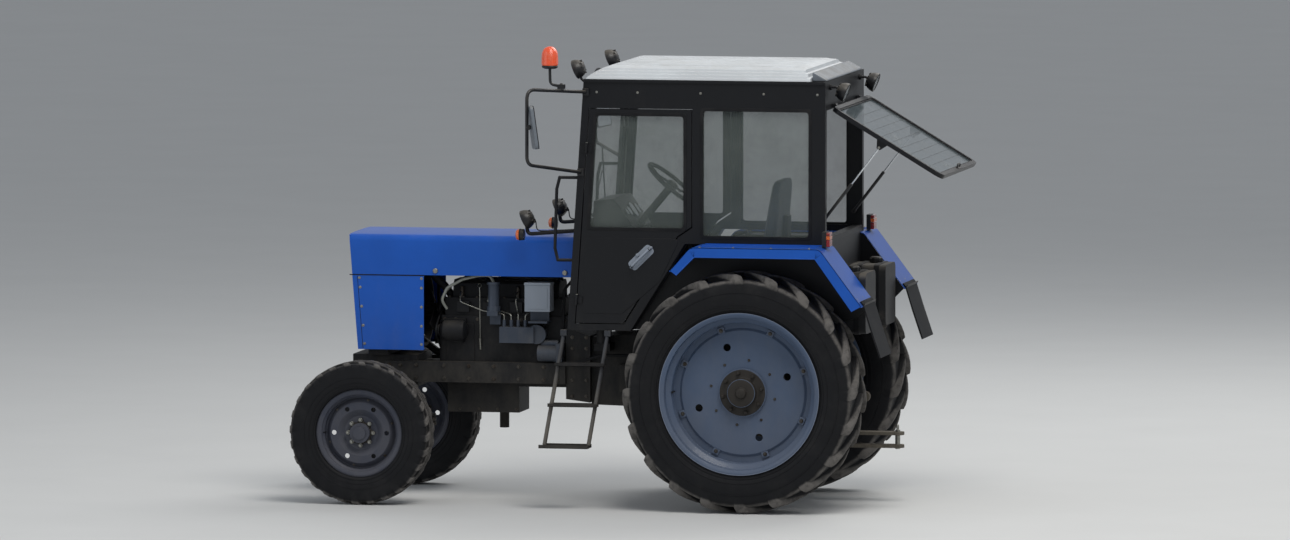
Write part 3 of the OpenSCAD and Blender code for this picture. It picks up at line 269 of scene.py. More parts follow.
BLUE = paint("tractor_blue", "blue_paint", rgb("0a55b8"), 0.36, 0.07, 0.12, 0.25)
CAB_BLACK = paint("cab_black", "cab_paint", rgb("0b0d12"), 0.45, 0.05, 0.08, 0.1, worn="55585c")
FRAME_BLACK = paint("frame_black", "black_metal", rgb("0d0e13"), 0.52, 0.1, 0.3, worn="4b423c")
CAST_GREY = paint("chassis_grey", "chassis_paint", rgb("0e1015"), 0.62, 0.1, 0.25, grain=0.5, worn="42393a")
ENGINE_GREY = paint("engine_grey", "engine_paint", rgb("0d0f14"), 0.6, 0.08, 0.25, grain=0.45, worn="443b36")
FITTING = paint("fitting_grey", "bright_metal", rgb("424a57"), 0.42, 0.2, 0.3, metal=0.2, grain=0.15, worn="6b6259")
COVER = paint("cover_grey", "bright_metal", rgb("8d96a2"), 0.45, 0.2, 0.2, worn="54483e")
HUB = paint("hub_brown", "black_metal", rgb("1b1817"), 0.6, 0.04, 0.4, worn="4b3b30")
HITCH = paint("hitch_steel", "hitch_steel", rgb("17181b"), 0.55, 0.3, 0.5, worn="6b4f3c")
WHITE = paint("roof_white", "white_paint", rgb("cdd2d6"), 0.5, 0.2, 0.1, worn="8a857c")
REAR_RIM = paint("rear_rim_grey", "rear_rim_paint", rgb("4b5b74"), 0.45, 0.07, 0.12, 0.1, worn="3e3a38")
# The rear rims' flange ring is painted a lighter grey than the dish: a painted highlight along the flange
RIM_HIGHLIGHT_GREY = paint("rim_edge_painted_highlight", "rear_rim_paint", rgb("69758a"), 0.4, 0.08, 0.15, 0.1, worn="3e3a38")
FRONT_RIM = paint("front_rim_grey", "front_rim_paint", rgb("363c4c"), 0.5, 0.08, 0.25, worn="2f2b2a")
RUBBER = rubber("black_rubber", "flap_rubber")
REAR_TYRE = rubber("rear_tyre_rubber", "tyre", 0.75)
FRONT_TYRE = rubber("front_tyre_rubber", "tyre", 0.45)
TRIM = plastic("cab_trim", "cab_plastic", rgb("1d1f24"), dust=0.12, strength=0.1)
TANK = plastic("tank_plastic", "tank_plastic", rgb("1b1c1f"), 0.55, 0.45, 300)
LAMP_BLACK = plastic("lamp_housing", "lamp_black", rgb("191a1d"), 0.4, 0.3)
CHROME = metal("chrome", "bright_rod", rgb("d5d9dd"), 0.14, 0.08)
STEEL = metal("zinc_steel", "bright_metal", rgb("a3a39c"), 0.35, 0.35)
DARK_STEEL = metal("dark_steel", "hitch_steel", rgb("55524e"), 0.45, 0.6)
RED_LENS = lens("red_lens", "lamp_plastic", rgb("8f1f1a"))
AMBER_LENS = lens("amber_lens", "lamp_plastic", rgb("d9651f"))
BEACON_LENS = lens("beacon_lens", "lamp_plastic", rgb("dd4f22"), 0.15)
CLEAR_LENS = lens("clear_lens", "lamp_glass", rgb("cfd4d6"), rough=0.06, pitch=420)
PANE = glass("cab_glass", "cab_glass", rgb("78827f", 0.20))
REAR_PANE = glass("rear_glass", "cab_glass", rgb("626d72", 0.5), film=0.2)
MIRROR = metal("mirror_silver", "bright_rod", rgb("e3e8ea"), 0.03, 0.02)
SEAT_CLOTH = cloth("seat_cloth", "seat_fabric", rgb("23324c"), rgb("2f3f5c"))
LENS_GLASS = glass("lens_glass", "lamp_glass", rgb("c9cfd2", 0.30), 0.05, 0.2)
MIRROR_BACK = plastic("mirror_back", "lamp_black", rgb("6f767e"), 0.4, 0.3)
CORE = metal("radiator_core", "black_metal", rgb("4a4a48"), 0.5, 0.5, 300)
LADDER_METAL = paint("ladder_metal", "black_metal", rgb("3d4046"), 0.4, 0.3, 0.6, metal=0.3, worn="a3a49f")
PALE_HOSE = plastic("pale_hose", "bright_metal", rgb("9c9f98"), 0.5, 0.4)
CHROME_TRIM = metal("dial_metal", "bright_rod", rgb("aeb2b5"), 0.3, 0.1)
DIAL = plastic("dial_face", "cab_plastic", rgb("101113"), 0.3, 0.05)


# Shapes: each is a pair of points, in tractor millimetres, and faces

def merged(shapes):
    points, faces = [], []
    for p, f in shapes:
        faces += [tuple(i + len(points) for i in face) for face in f]
        points += [Vector(q) for q in p]
    return points, faces


def moved(shape, matrix):
    return [matrix @ Vector(p) for p in shape[0]], shape[1]


def mirrored(shape):
    return [Vector((p[0], -p[1], p[2])) for p in shape[0]], [tuple(reversed(f)) for f in shape[1]]


def both(shapes):
    """The shapes and their mirror images on the right of the tractor."""
    return list(shapes) + [mirrored(s) for s in shapes]


def box(x, y, z):
    points = [Vector((a, b, c)) for a in x for b in y for c in z]
    return points, [(0, 1, 3, 2), (4, 6, 7, 5), (0, 4, 5, 1), (2, 3, 7, 6), (0, 2, 6, 4), (1, 5, 7, 3)]


def slab(outline, axis, low, high):
    """An outline in the plane across an axis, pulled out from low to high."""
    order = {"X": lambda a, b, t: (t, a, b), "Y": lambda a, b, t: (a, t, b), "Z": lambda a, b, t: (a, b, t)}[axis]
    n = len(outline)
    points = [Vector(order(a, b, t)) for t in (low, high) for a, b in outline]
    sides = [(i, (i + 1) % n, (i + 1) % n + n, i + n) for i in range(n)]
    return points, sides + [tuple(range(n - 1, -1, -1)), tuple(range(n, 2 * n))]


def lathe(profile, n=48, ring=False):
    """A profile of (radius, height) turned round the Z axis. A ring's profile is closed on itself."""
    points, faces, m = [], [], len(profile)
    for i in range(n):
        a = 2 * pi * i / n
        points += [Vector((r * cos(a), r * sin(a), h)) for r, h in profile]
    for i in range(n):
        j = (i + 1) % n
        for k in range(m if ring else m - 1):
            l = (k + 1) % m
            faces.append((i * m + k, j * m + k, j * m + l, i * m + l))
    if not ring:
        for k in (0, m - 1):
            if profile[k][0] > 0.01:
                faces.append(tuple(i * m + k for i in range(n)))
    return points, faces


def facing(place, axis):
    """The matrix that carries the Z axis to an axis through a place."""
    turn = Vector((0, 0, 1)).rotation_difference(Vector(axis).normalized()).to_matrix().to_4x4()
    return Matrix.Translation(Vector(place)) @ turn


def turned(profile, place, axis, n=32, ring=False):
    return moved(lathe(profile, n, ring), facing(place, axis))


def capped(profile, place, axis, n=32):
    """A turned profile with flat ends that reach its axis."""
    return turned([(0.01, profile[0][1])] + profile + [(0.01, profile[-1][1])], place, axis, n)


def disc(r, h, place, axis, n, low=0):
    """A plain round peg from low to h along its axis."""
    return capped([(r, h), (r, low)], place, axis, n)


def spin(degrees, axis):
    return Matrix.Rotation(radians(degrees), 4, axis)


def rounded_corners(points, r, steps=5):
    points = [Vector(p) for p in points]
    out = [points[0]]
    for a, b, c in zip(points, points[1:], points[2:]):
        u, v = (a - b).normalized(), (c - b).normalized()
        d = min(r / max(tan(u.angle(v) / 2), 0.01), (a - b).length * 0.49, (c - b).length * 0.49)
        p, q = b + u * d, b + v * d
        out += [(1 - t) ** 2 * p + 2 * t * (1 - t) * b + t * t * q for t in [i / steps for i in range(steps + 1)]]
    return out + [points[-1]]


def tube(points, r, n=12, bend=0, steps=5, loop=False):
    """A tube along points, with its corners rounded to a radius."""
    line = rounded_corners(points, bend, steps) if bend else [Vector(p) for p in points]
    radii = r if hasattr(r, "__len__") else [r] * len(line)
    m = len(line)
    way = [(line[(i + 1) % m] - line[i - 1]) if loop or 0 < i < m - 1 else
           (line[min(i + 1, m - 1)] - line[max(i - 1, 0)]) for i in range(m)]
    side = way[0].orthogonal().normalized()
    out = []
    for p, w, q in zip(line, way, radii):
        w = w.normalized()
        side = (side - w * side.dot(w)).normalized()
        up = w.cross(side)
        out += [p + (side * cos(2 * pi * k / n) + up * sin(2 * pi * k / n)) * q for k in range(n)]
    faces = [(i * n + k, i * n + (k + 1) % n, (i + 1) % m * n + (k + 1) % n, (i + 1) % m * n + k)
             for i in range(m if loop else m - 1) for k in range(n)]
    if not loop:
        faces += [tuple(range(n - 1, -1, -1)), tuple((m - 1) * n + k for k in range(n))]
    return out, faces


def bolt(place, axis, r=9, h=8):
    """A hexagon head on its washer."""
    head = [(0.01, h + 1.2), (r * 0.8, h + 1), (r, h * 0.8), (r, 1.5)]
    return merged([turned(head, place, axis, 6), disc(r * 1.3, 2, place, axis, 16, -1)])


def bolts(places, axis, r=9, h=8):
    return [bolt(p, axis, r, h) for p in places]


def ring_points(turn, r, n, start=0, h=0):
    """Points evenly round the Z axis of a matrix."""
    return [turn @ Vector((r * cos(start + 2 * pi * i / n), r * sin(start + 2 * pi * i / n), h)) for i in range(n)]


def circle(place, axis, r, n, start=0):
    """Points evenly round an axis."""
    return ring_points(facing(place, axis), r, n, start)


def put(name, mesh):
    """A new object in the scene."""
    made = bpy.data.objects.new(name, mesh)
    bpy.context.scene.collection.objects.link(made)
    return made


def mended(work, mesh):
    """Writes the working mesh into the mesh, its faces turned outwards."""
    bmesh.ops.recalc_face_normals(work, faces=work.faces)
    work.to_mesh(mesh)
    work.free()


def round_edges(made, width, angle):
    edge = made.modifiers.new("bevel", "BEVEL")
    edge.width, edge.segments = width * MM, 2
    edge.limit_method, edge.angle_limit = "ANGLE", radians(angle)
    edge.harden_normals = True


def piece(name, shapes, material, body="chassis", bevel=0.0, origin=None, angle=35, replaces=()):
    """A Blender object from shapes, riding on a body. Bevel is in millimetres."""
    points, faces = merged(shapes)
    mesh = bpy.data.meshes.new(name)
    mesh.from_pydata([(p - Vector(origin)) * MM if origin else world(p) for p in points], [], faces)
    work = bmesh.new()
    work.from_mesh(mesh)
    mended(work, mesh)
    made = put(name, mesh)
    if origin:
        made.location = world(origin)
    mesh.materials.append(material)
    for polygon in mesh.polygons:
        polygon.use_smooth = True
    if bevel:
        round_edges(made, bevel, angle)
    else:
        mesh.set_sharp_from_angle(angle=radians(angle))
    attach(made, body)
    if replaces:
        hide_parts(*replaces)


# Material of each CAD node, and the width of its rounded edges

SHOWN = {
    "half_frame": (CAST_GREY, 4), "front_axle": (CAST_GREY, 6), "engine": (ENGINE_GREY, 7),
    "engine_fittings": (FITTING, 4), "exhaust_pipe": (HUB, 3), "radiator": (FRAME_BLACK, 3),
    "nose": (BLUE, 2), "grille": (FRAME_BLACK, 1.5), "headlamps": (CLEAR_LENS, 4), "gearbox": (CAST_GREY, 9),
    "rear_axle": (CAST_GREY, 8), "tow_bracket": (HITCH, 3), "cab_frame": (CAB_BLACK, 4), "cab_tub": (TRIM, 3),
    "cab_roof": (WHITE, 6), "cab_glass": (PANE, 0), "console": (TRIM, 8), "steering_wheel": (TRIM, 2),
    "seat": (TRIM, 8), "fenders": (BLUE, 2), "mud_flaps": (RUBBER, 2), "fuel_tanks": (TANK, 6),
    "signal_lamps": (AMBER_LENS, 6), "work_lamps": (LAMP_BLACK, 3), "beacon": (BEACON_LENS, 3),
    "mirrors": (LAMP_BLACK, 3), "handrails": (FRAME_BLACK, 0), "ladder": (FRAME_BLACK, 2), "hood": (BLUE, 3),
    "rear_window": (CAB_BLACK, 4), "rear_window_glass": (REAR_PANE, 0), "pitman_arm": (CAST_GREY, 3)}
for hand in ("left", "right"):
    SHOWN |= {
        f"door_{hand}": (CAB_BLACK, 3), f"door_{hand}_glass": (PANE, 0), f"strut_tube_{hand}": (LAMP_BLACK, 1),
        f"strut_rod_{hand}": (CHROME, 0.5), f"tie_rod_{hand}": (DARK_STEEL, 1.5), f"knuckle_{hand}": (CAST_GREY, 3),
        f"rim_front_{hand}": (FRONT_RIM, 2), f"rim_rear_{hand}": (REAR_RIM, 2),
        f"tyre_front_{hand}": (RUBBER, 2), f"tyre_rear_{hand}": (RUBBER, 2)}


def dress():
    """Materials and rounded edges for the CAD nodes."""
    for name, (material, width) in SHOWN.items():
        node = CAD[name]
        if not node.data.materials:
            node.data.materials.append(material)
        for i in range(len(node.data.materials)):
            node.data.materials[i] = material
        if node.hide_render:
            continue
        weld = node.modifiers.new("weld", "WELD")
        weld.merge_threshold = 0.00001
        if width:
            round_edges(node, width, 30)


# Camera, light and floor

def studio():
    scene = bpy.context.scene
    scene.view_settings.view_transform = "Standard"
    eye_turn, eye_rise, far, aim = radians(191.5), radians(4.5), 90.0, Vector((-0.05, 0, 1.44))
    way = Vector((sin(eye_turn) * cos(eye_rise), -cos(eye_turn) * cos(eye_rise), sin(eye_rise)))
    camera = bpy.data.objects.new("camera", bpy.data.cameras.new("camera"))
    camera.data.lens = 400
    camera.data.clip_end = 400
    camera.location = aim + way * far
    camera.rotation_euler = (-way).to_track_quat("-Z", "Y").to_euler()
    scene.collection.objects.link(camera)
    scene.camera = camera

    floor = Nodes("pale_floor", "", Roughness=0.9)
    floor.set(Base_Color=floor.mix(floor.noise(1.2, 3), rgb("c9cac9"), rgb("cfd0cf")))
    mesh = bpy.data.meshes.new("floor")
    mesh.from_pydata([(-150, -150, 0), (150, -150, 0), (150, 150, 0), (-150, 150, 0)], [], [(0, 1, 2, 3)])
    mesh.materials.append(floor.material)
    made = bpy.data.objects.new("floor", mesh)
    scene.collection.objects.link(made)

    sky = bpy.data.worlds.new("studio")
    scene.world = sky
    sky.use_nodes = True
    sky.node_tree.nodes["Background"].inputs[0].default_value = (0.86, 0.90, 0.96, 1)
    sky.node_tree.nodes["Background"].inputs[1].default_value = 0.42
    for name, place, power, size, tint in (
            ("key", (-4, 6, 12), 950, 6, (1.0, 0.97, 0.93)), ("fill", (9, 8, 5), 170, 8, (0.92, 0.96, 1.0)),
            ("back", (-4, -8, 11), 700, 7, (1.0, 0.99, 0.97))):
        light = bpy.data.objects.new(name, bpy.data.lights.new(name, "AREA"))
        light.data.energy, light.data.size, light.data.color = power, size, tint
        light.location = place
        light.rotation_euler = (Vector((0, 0, 1.2)) - Vector(place)).to_track_quat("-Z", "Y").to_euler()
        scene.collection.objects.link(light)


# Wheels. A wheel is drawn round the Z axis, with its outer side towards +Z, and turned to lie along Y.

WHEELS = {"rear_left": (0, 750, 750), "rear_right": (0, -750, 750),
          "front_left": (2450, 700, 450), "front_right": (2450, -700, 450)}


def wheel_piece(name, shapes, material, wheel, **options):
    x, y, z = WHEELS[wheel]
    turn = Matrix(((1, 0, 0, 0), (0, 0, 1, 0), (0, -1, 0, 0), (0, 0, 0, 1)))
    if y < 0:
        turn = Matrix.Scale(-1, 4, (0, 1, 0)) @ turn
    place = Matrix.Translation((x, y, z))
    piece(f"{name}_{wheel}", [moved(s, place @ turn) for s in shapes], material, "wheel_" + wheel, origin=(x, y, z),
          **options)


def curve_profile(points, steps=4):
    """A smooth curve through (radius, height) points."""
    out = []
    n = len(points)
    for i in range(n - 1):
        p0, p1, p2, p3 = points[max(i - 1, 0)], points[i], points[i + 1], points[min(i + 2, n - 1)]
        for k in range(steps):
            t = k / steps
            out.append(tuple(0.5 * (2 * b + (c - a) * t + (2 * a - 5 * b + 4 * c - d) * t * t
                                    + (3 * b - a - 3 * c + d) * t ** 3)
                             for a, b, c, d in zip(p0, p1, p2, p3)))
    return out + [points[-1]]


def carcass(r, w, rim_r, rim_w, crown, rings):
    """Section of a tyre from bead to bead, with raised rings on its side walls: radius, height and half width."""
    bead = rim_w / 2 - 12.3
    h = r - rim_r
    side = [(rim_r + 2, bead), (rim_r + 8, w * 0.455)]
    side += [(rim_r + 2 + a * (h - 2), b * w / 2) for a, b in
             ((0.16, 0.965), (0.30, 0.99), (0.52, 1), (0.74, 0.985), (0.88, 0.955),
              (0.955, 0.88))] + [(r - 1, crown * w / 2)]
    side = [(rim_r - 19.7, bead)] + curve_profile(side, 4)
    out = []
    for a, b in zip(side, side[1:]):
        out.append(a)
        for ring_r, ring_h, ring_w in rings:
            if a[0] < ring_r <= b[0]:
                t = (ring_r - a[0]) / (b[0] - a[0])
                y = a[1] + (b[1] - a[1]) * t
                out += [(ring_r - ring_w, y), (ring_r - ring_w * 0.6, y + ring_h), (ring_r + ring_w * 0.6, y + ring_h),
                        (ring_r + ring_w, y)]
    out.append(side[-1])
    out += [(r + 1, crown * w / 4), (r + 1.5, 0)]
    inner = [(rim_r - 12, bead - 16), (rim_r + 20, w / 2 - 34), (rim_r + h * 0.5, w / 2 - 18), (r - 40, w * 0.40),
             (r - 26, 0)]
    half = sorted(set(out), key=out.index)
    return (half + [(a, -b) for a, b in reversed(half[:-1])]
            + [(a, -b) for a, b in inner] + inner[-2::-1])


def on_tread(r, a, turn):
    return Vector((r * cos(turn), r * sin(turn), a))


def bar(stations, side):
    """A lug: stations of angle, place across, low and high radius, foot and top width."""
    points, faces = [], []
    for turn, across, low, high, foot, top in stations:
        section = [(low, foot), (high - 5, (foot + 3 * top) / 4), (high, top * 0.88)]
        points += [on_tread(r, across * side, turn - wide / 2 / r) for r, wide in section]
        points += [on_tread(r, across * side, turn + wide / 2 / r) for r, wide in reversed(section)]
    n = len(stations)
    for i in range(n - 1):
        for k in range(5):
            faces.append((i * 6 + k, i * 6 + k + 1, (i + 1) * 6 + k + 1, (i + 1) * 6 + k))
        faces.append((i * 6 + 5, i * 6, (i + 1) * 6, (i + 1) * 6 + 5))
    return points, faces + [(0, 1, 2, 3, 4, 5), tuple((n - 1) * 6 + k for k in (5, 4, 3, 2, 1, 0))]


def rear_tyres():
    r, w = 750, 394
    # Place along the lug: share of the sweep, place across, low and high radius, foot and top width
    table = [(0.00, -6, 708, 747, 52, 34), (0.10, 12, 708, 750, 56, 38), (0.34, 66, 706, 750, 58, 40),
             (0.60, 118, 700, 749, 62, 43),
             (0.82, 160, 682, 745, 66, 48), (0.95, 184, 655, 737, 68, 52), (1.0, 193, 628, 716, 68, 50),
             (1.02, 195.5, 606, 660, 60, 40)]
    sweep = -radians(17)
    shapes = [lathe(carcass(r - 36, w, 505, 380, 0.62, ((530, 4, 5), (560, 2, 3), (632, 2.5, 3))), 120, ring=True)]
    for i in range(20):
        for side, start in ((1, i * 18), (-1, i * 18 + 9)):
            turn = radians(start + 17)
            shapes.append(bar([(turn + s * sweep, a, low, high, foot, top) for s, a, low, high, foot, top in table],
                              side))
    for wheel in ("rear_left", "rear_right"):
        wheel_piece("tyre", shapes, REAR_TYRE, wheel, replaces=("tyre_" + wheel,), angle=28)


def front_tyres():
    r, w = 450, 210
    shapes = [lathe(carcass(r - 14, w, 272, 168, 0.80, ((292, 3, 4), (318, 1.5, 2.5), (350, 1.5, 2.5))), 96, ring=True)]
    for across, half in ((0, 11), (38, 9), (-38, 9)):
        top = r - 1 - abs(across) * 0.03
        rib = [(r - 16, across + half + 2), (top, across + half), (top, across - half), (r - 16, across - half - 2)]
        shapes.append(lathe(rib, 96, ring=True))
    table = [(0.00, 50, 430, 448, 40, 33), (0.30, 68, 428, 448, 42, 35), (0.62, 86, 420, 446, 45, 38),
             (0.86, 99, 404, 440, 47, 40), (1.0, 104, 384, 424, 44, 34)]
    count, sweep = 28, -radians(4)
    for i in range(count):
        for side, start in ((1, i * 2 * pi / count), (-1, (i + 0.5) * 2 * pi / count)):
            shapes.append(bar([(start + share * sweep, *rest) for share, *rest in table], side))
    for wheel in ("front_left", "front_right"):
        wheel_piece("tyre", shapes, FRONT_TYRE, wheel, replaces=("tyre_" + wheel,), angle=28)


def rims():
    up = (0, 0, 1)
    for wheel in ("rear_left", "rear_right"):
        hub = [(0.01, 140), (24, 140), (31, 136), (35, 126), (37, 122.5), (62, 122.5), (72, 122), (86, 120), (92, 112),
               (92, 82), (104, 77), (142, 76), (146, 72), (0.01, 60)]
        nuts = circle((0, 0, 75), up, 124, 8, 0.2)
        wheel_piece("hub", [lathe(hub, 48)] + bolts(nuts, up, 13, 16)
                    + [disc(7, 30, p, up, 12) for p in nuts], HUB, wheel, bevel=1.5)
        clamps = [moved(box((386, 428), (-22, 22), (40, 52)), Matrix.Rotation(2 * pi * i / 8 + 0.35, 4, "Z"))
                  for i in range(8)]
        wheel_piece("rim_lugs", clamps, REAR_RIM, wheel, bevel=3)
        wheel_piece("rim_bolts", bolts(circle((0, 0, 52), up, 407, 8, 0.35), up, 10, 9)
                    + bolts(circle((0, 0, 54), up, 205, 8, 0.6), up, 7, 5), DARK_STEEL, wheel, bevel=0.8)
        ring = [(505, 186), (507, 190), (503, 190), (497, 188), (489, 184), (487, 176), (494, 178), (500, 181)]
        # On the rear rims the flange ring takes the lighter grey, a painted highlight
        wheel_piece("rim_edge", [lathe(ring, 128, ring=True)], RIM_HIGHLIGHT_GREY, wheel)
        wheel_piece("valve", [tube([(432, 0, 60), (440, 0, 92), (436, 0, 112)], 5, bend=20),
                              disc(7, 14, (436, 0, 110), (-0.2, 0, 1), 12)], RUBBER, wheel)
    for wheel in ("front_left", "front_right"):
        star = [(r * cos(pi * i / 8), r * sin(pi * i / 8)) for i in range(16) for r in [66 if i % 2 else 96]]
        cone = [(0.01, 86), (30, 86), (40, 80), (44, 70), (50, 60), (62, 56), (62, 24), (0.01, 24)]
        wheel_piece("hub_star", [slab(star, "Z", 24, 46), lathe(cone, 40)], HUB, wheel, bevel=3)
        wheel_piece("hub_bolts", bolts(circle((0, 0, 46), up, 80, 8, 0), up, 10, 12)
                    + bolts(circle((0, 0, 86), up, 24, 4, 0.4), up, 4, 3), STEEL, wheel, bevel=0.8)
        wheel_piece("rim_bolts", bolts(circle((0, 0, 26), up, 205, 6, 0.3), up, 8, 8), DARK_STEEL, wheel, bevel=0.8)
        ring = [(272, 80), (274, 84), (270, 84), (262, 82), (256, 77), (262, 76), (268, 78)]
        wheel_piece("rim_edge", [lathe(ring, 96, ring=True)], FRONT_RIM, wheel)
        wheel_piece("valve", [tube([(222, 0, 30), (232, 0, 50), (230, 0, 66)], 4, bend=14)], RUBBER, wheel)


# Bonnet, nose and lamps

# The cab's front pillar leans back by PILLAR_BACK over PILLAR_RISE above its foot, and the nose by NOSE_BACK over
# NOSE_RISE below its top
PILLAR_FOOT, PILLAR_BACK, PILLAR_RISE = (1145, 1150), 90, 1350
NOSE_TOP, NOSE_BACK, NOSE_RISE = (2615, 1665), 57, 725


def pillar_x(z):
    """The front of the cab at a height."""
    return PILLAR_FOOT[0] - PILLAR_BACK * (z - PILLAR_FOOT[1]) / PILLAR_RISE


def nose_x(z):
    """The front of the nose at a height."""
    return NOSE_TOP[0] - NOSE_BACK * (NOSE_TOP[1] - z) / NOSE_RISE


def arc(cx, cy, r, a, b, n=6):
    """Points of an arc from angle a to b, in degrees."""
    return [(cx + r * cos(radians(a + (b - a) * i / n)), cy + r * sin(radians(a + (b - a) * i / n)))
            for i in range(n + 1)]


def frame_ring(outer, inner, axis, low, high):
    """A flat ring between two outlines with the same number of points."""
    n = len(outer)
    a, b = slab(outer, axis, low, high), slab(inner, axis, low, high)
    faces = [(i, (i + 1) % n, (i + 1) % n + n, i + n) for i in range(n)]
    faces += [(2 * n + i, 3 * n + i, 3 * n + (i + 1) % n, 2 * n + (i + 1) % n) for i in range(n)]
    faces += [(i, 2 * n + i, 2 * n + (i + 1) % n, (i + 1) % n) for i in range(n)]
    faces += [(n + i, n + (i + 1) % n, 3 * n + (i + 1) % n, 3 * n + i) for i in range(n)]
    return a[0] + b[0], faces


def block(y0, y1, z0, z1):
    """The outline of a rectangle, from its lower left corner."""
    return [(y0, z0), (y1, z0), (y1, z1), (y0, z1)]


def inset(outline, g):
    """A convex outline drawn in by g, its corners kept."""
    pts = [Vector((a, b)) for a, b in outline]
    n = len(pts)
    mid = sum(pts, Vector((0, 0))) / n
    out = []
    for i in range(n):
        p, q, r = pts[i - 1], pts[i], pts[(i + 1) % n]
        u, v = (q - p).normalized(), (r - q).normalized()
        m, k = Vector((-u.y, u.x)), Vector((-v.y, v.x))
        if m.dot(mid - q) < 0:
            m, k = -m, -k
        d = (m + k) / max(1 + m.dot(k), 0.2)
        out.append(tuple(q + d * g))
    return out


def rounded(outline, r, n=4):
    """An outline with its corners rounded."""
    pts = [Vector((a, b)) for a, b in outline]
    out = []
    for i in range(len(pts)):
        a, b, c = pts[i - 1], pts[i], pts[(i + 1) % len(pts)]
        u, v = (a - b).normalized(), (c - b).normalized()
        d = min(r / max(tan(u.angle(v) / 2), 0.01), (a - b).length * 0.49, (c - b).length * 0.49)
        p, q = b + u * d, b + v * d
        out += [tuple((1 - t) ** 2 * p + 2 * t * (1 - t) * b + t * t * q) for t in [k / n for k in range(n + 1)]]
    return out


def hood():
    def profile(g):
        w, top, r = 330 - g, 1665 - g, 42 - g
        edge = arc(w - r, top - r, r, 0, 90, 8)
        crown = [(y, top + 3.5 * (1 - (y / w) ** 2)) for y in (200, 100)]
        half = [(w, 1412)] + edge + crown
        return half + [(0, top + 3.5)] + [(-y, z) for y, z in reversed(half)]
    outer, inner = profile(0), profile(5)
    n = len(outer)
    points = []
    for ring, far in ((outer, 0), (inner, 4)):
        for y, z in ring:
            points.append(Vector((1116, y, z)))
        for y, z in ring:
            points.append(Vector((nose_x(z) - far, y, z)))
    faces = []
    for k in range(n - 1):
        faces += [(k, k + 1, n + k + 1, n + k), (2 * n + k, 3 * n + k, 3 * n + k + 1, 2 * n + k + 1),
                  (k, 2 * n + k, 2 * n + k + 1, k + 1), (n + k, n + k + 1, 3 * n + k + 1, 3 * n + k)]
    for k in (0, n - 1):
        faces.append((k, n + k, 3 * n + k, 2 * n + k))
    lip = slab([(nose_x(1616) - 5, 1616), (nose_x(1616), 1616), (nose_x(1662), 1662), (nose_x(1662) - 5, 1662)], "Y",
               -322, 322)
    eyes = both([turned([(8, -20), (8, 20), (5.2, 20), (5.2, -20)], (1122, 200, 1640), (0, 1, 0), 20, ring=True),
                 box((1117, 1127), (180, 220), (1645, 1661))])
    piece("hood_shell", [(points, faces), lip] + eyes, BLUE, "hood", bevel=2.5, replaces=("hood",))
    rails = both([box((1150, 2540), (322, 324.8), (1430, 1446)), box((1150, 2540), (322, 324.8), (1560, 1572))])
    piece("hood_stiffeners", rails, BLUE, "hood", bevel=1)
    grips = both([capped([(13, 10), (16, 7), (17, 0)], (x, 329.6, 1440), (0, 1, 0), 24)
                  for x in (1230, 2060)]
                 + [box((x - 11, x + 11), (338, 343), (1437, 1443)) for x in (1230, 2060)])
    piece("hood_locks", grips, STEEL, "hood", bevel=1)
    piece("hood_seal", [tube([(1113, y, z) for y, z in profile(1)], 4.5, 8)], RUBBER, "hood")


def nose():
    """Trim on the nose: seams, screws, the grille's net and the headlamps."""
    screws = []
    for z in (975, 1090, 1210, 1330, 1390):
        screws += bolts([(nose_x(z) - 45, 329.6, z), (2150, 329.6, z)], (0, 1, 0), 7, 3)
    piece("nose_screws", both(screws), STEEL, bevel=0.5)
    seam = [(nose_x(z) - back, z) for z, back in ((944, 34), (944, 31), (1402, 31), (1402, 34))]
    strips = both([slab(seam, "Y", 329.2, 330.6)]) + both([box((2136, 2612), (328, 331), (1405.6, 1411.6))])
    piece("nose_seams", strips, RUBBER)
    z0, z1, wide = 1012, 1558, 250
    net = []
    for i in range(33):
        y = -wide + i * 2 * wide / 32
        net.append(tube([(nose_x(z0) - 27, y, z0), (nose_x(z1) - 27, y, z1)], 1.3, 6))
    for i in range(36):
        z = z0 + i * (z1 - z0) / 35
        net.append(tube([(nose_x(z) - 29, -wide, z), (nose_x(z) - 29, wide, z)], 1.3, 6))
    piece("grille_net", net, FRAME_BLACK)

    def on_nose(shape):
        return [Vector((nose_x(p.z) + p.x, p.y, p.z)) for p in shape[0]], shape[1]
    lenses, bowls, bezels, bulbs = [], [], [], []
    lamp_z = 1165
    for y in (155, -155):
        outline = rounded(block(y - 95, y + 95, lamp_z - 65, lamp_z + 65), 16)
        case = rounded(block(y - 90, y + 90, lamp_z - 60, lamp_z + 60), 14)
        bezels += [on_nose(frame_ring(outline, inset(outline, 9), "X", -6, 1.5)), on_nose(slab(case, "X", -58, -14))]
        lenses.append(on_nose(slab(inset(outline, 8), "X", -9, -3)))
        centre = (nose_x(lamp_z), y, lamp_z)
        bowls.append(turned([(8, -46), (30, -40), (46, -26), (56, -10.5)], centre, (1, 0, 0), 32))
        bulbs.append(turned([(0.01, -16), (5, -18), (7, -24), (7, -44), (0.01, -44)], centre, (1, 0, 0), 16))
    piece("headlamp_bezels", bezels, CHROME, bevel=1.5, replaces=("headlamps",))
    piece("headlamp_bowls", bowls, CHROME)
    piece("headlamp_bulbs", bulbs, CLEAR_LENS)
    piece("headlamp_lenses", lenses, LENS_GLASS, bevel=1)
    piece("radiator_core", [box((2512, 2516), (-255, 255), (990, 1530))], CORE, bevel=0.5)
    tanks = [box((2376, 2504), (-276, 276), (1500, 1546)), box((2376, 2504), (-276, 276), (905, 950)),
             capped([(28, 30), (34, 24), (34, 0)], (2440, 120, 1546), (0, 0, 1), 24)]
    piece("radiator_tanks", tanks, ENGINE_GREY, bevel=6)


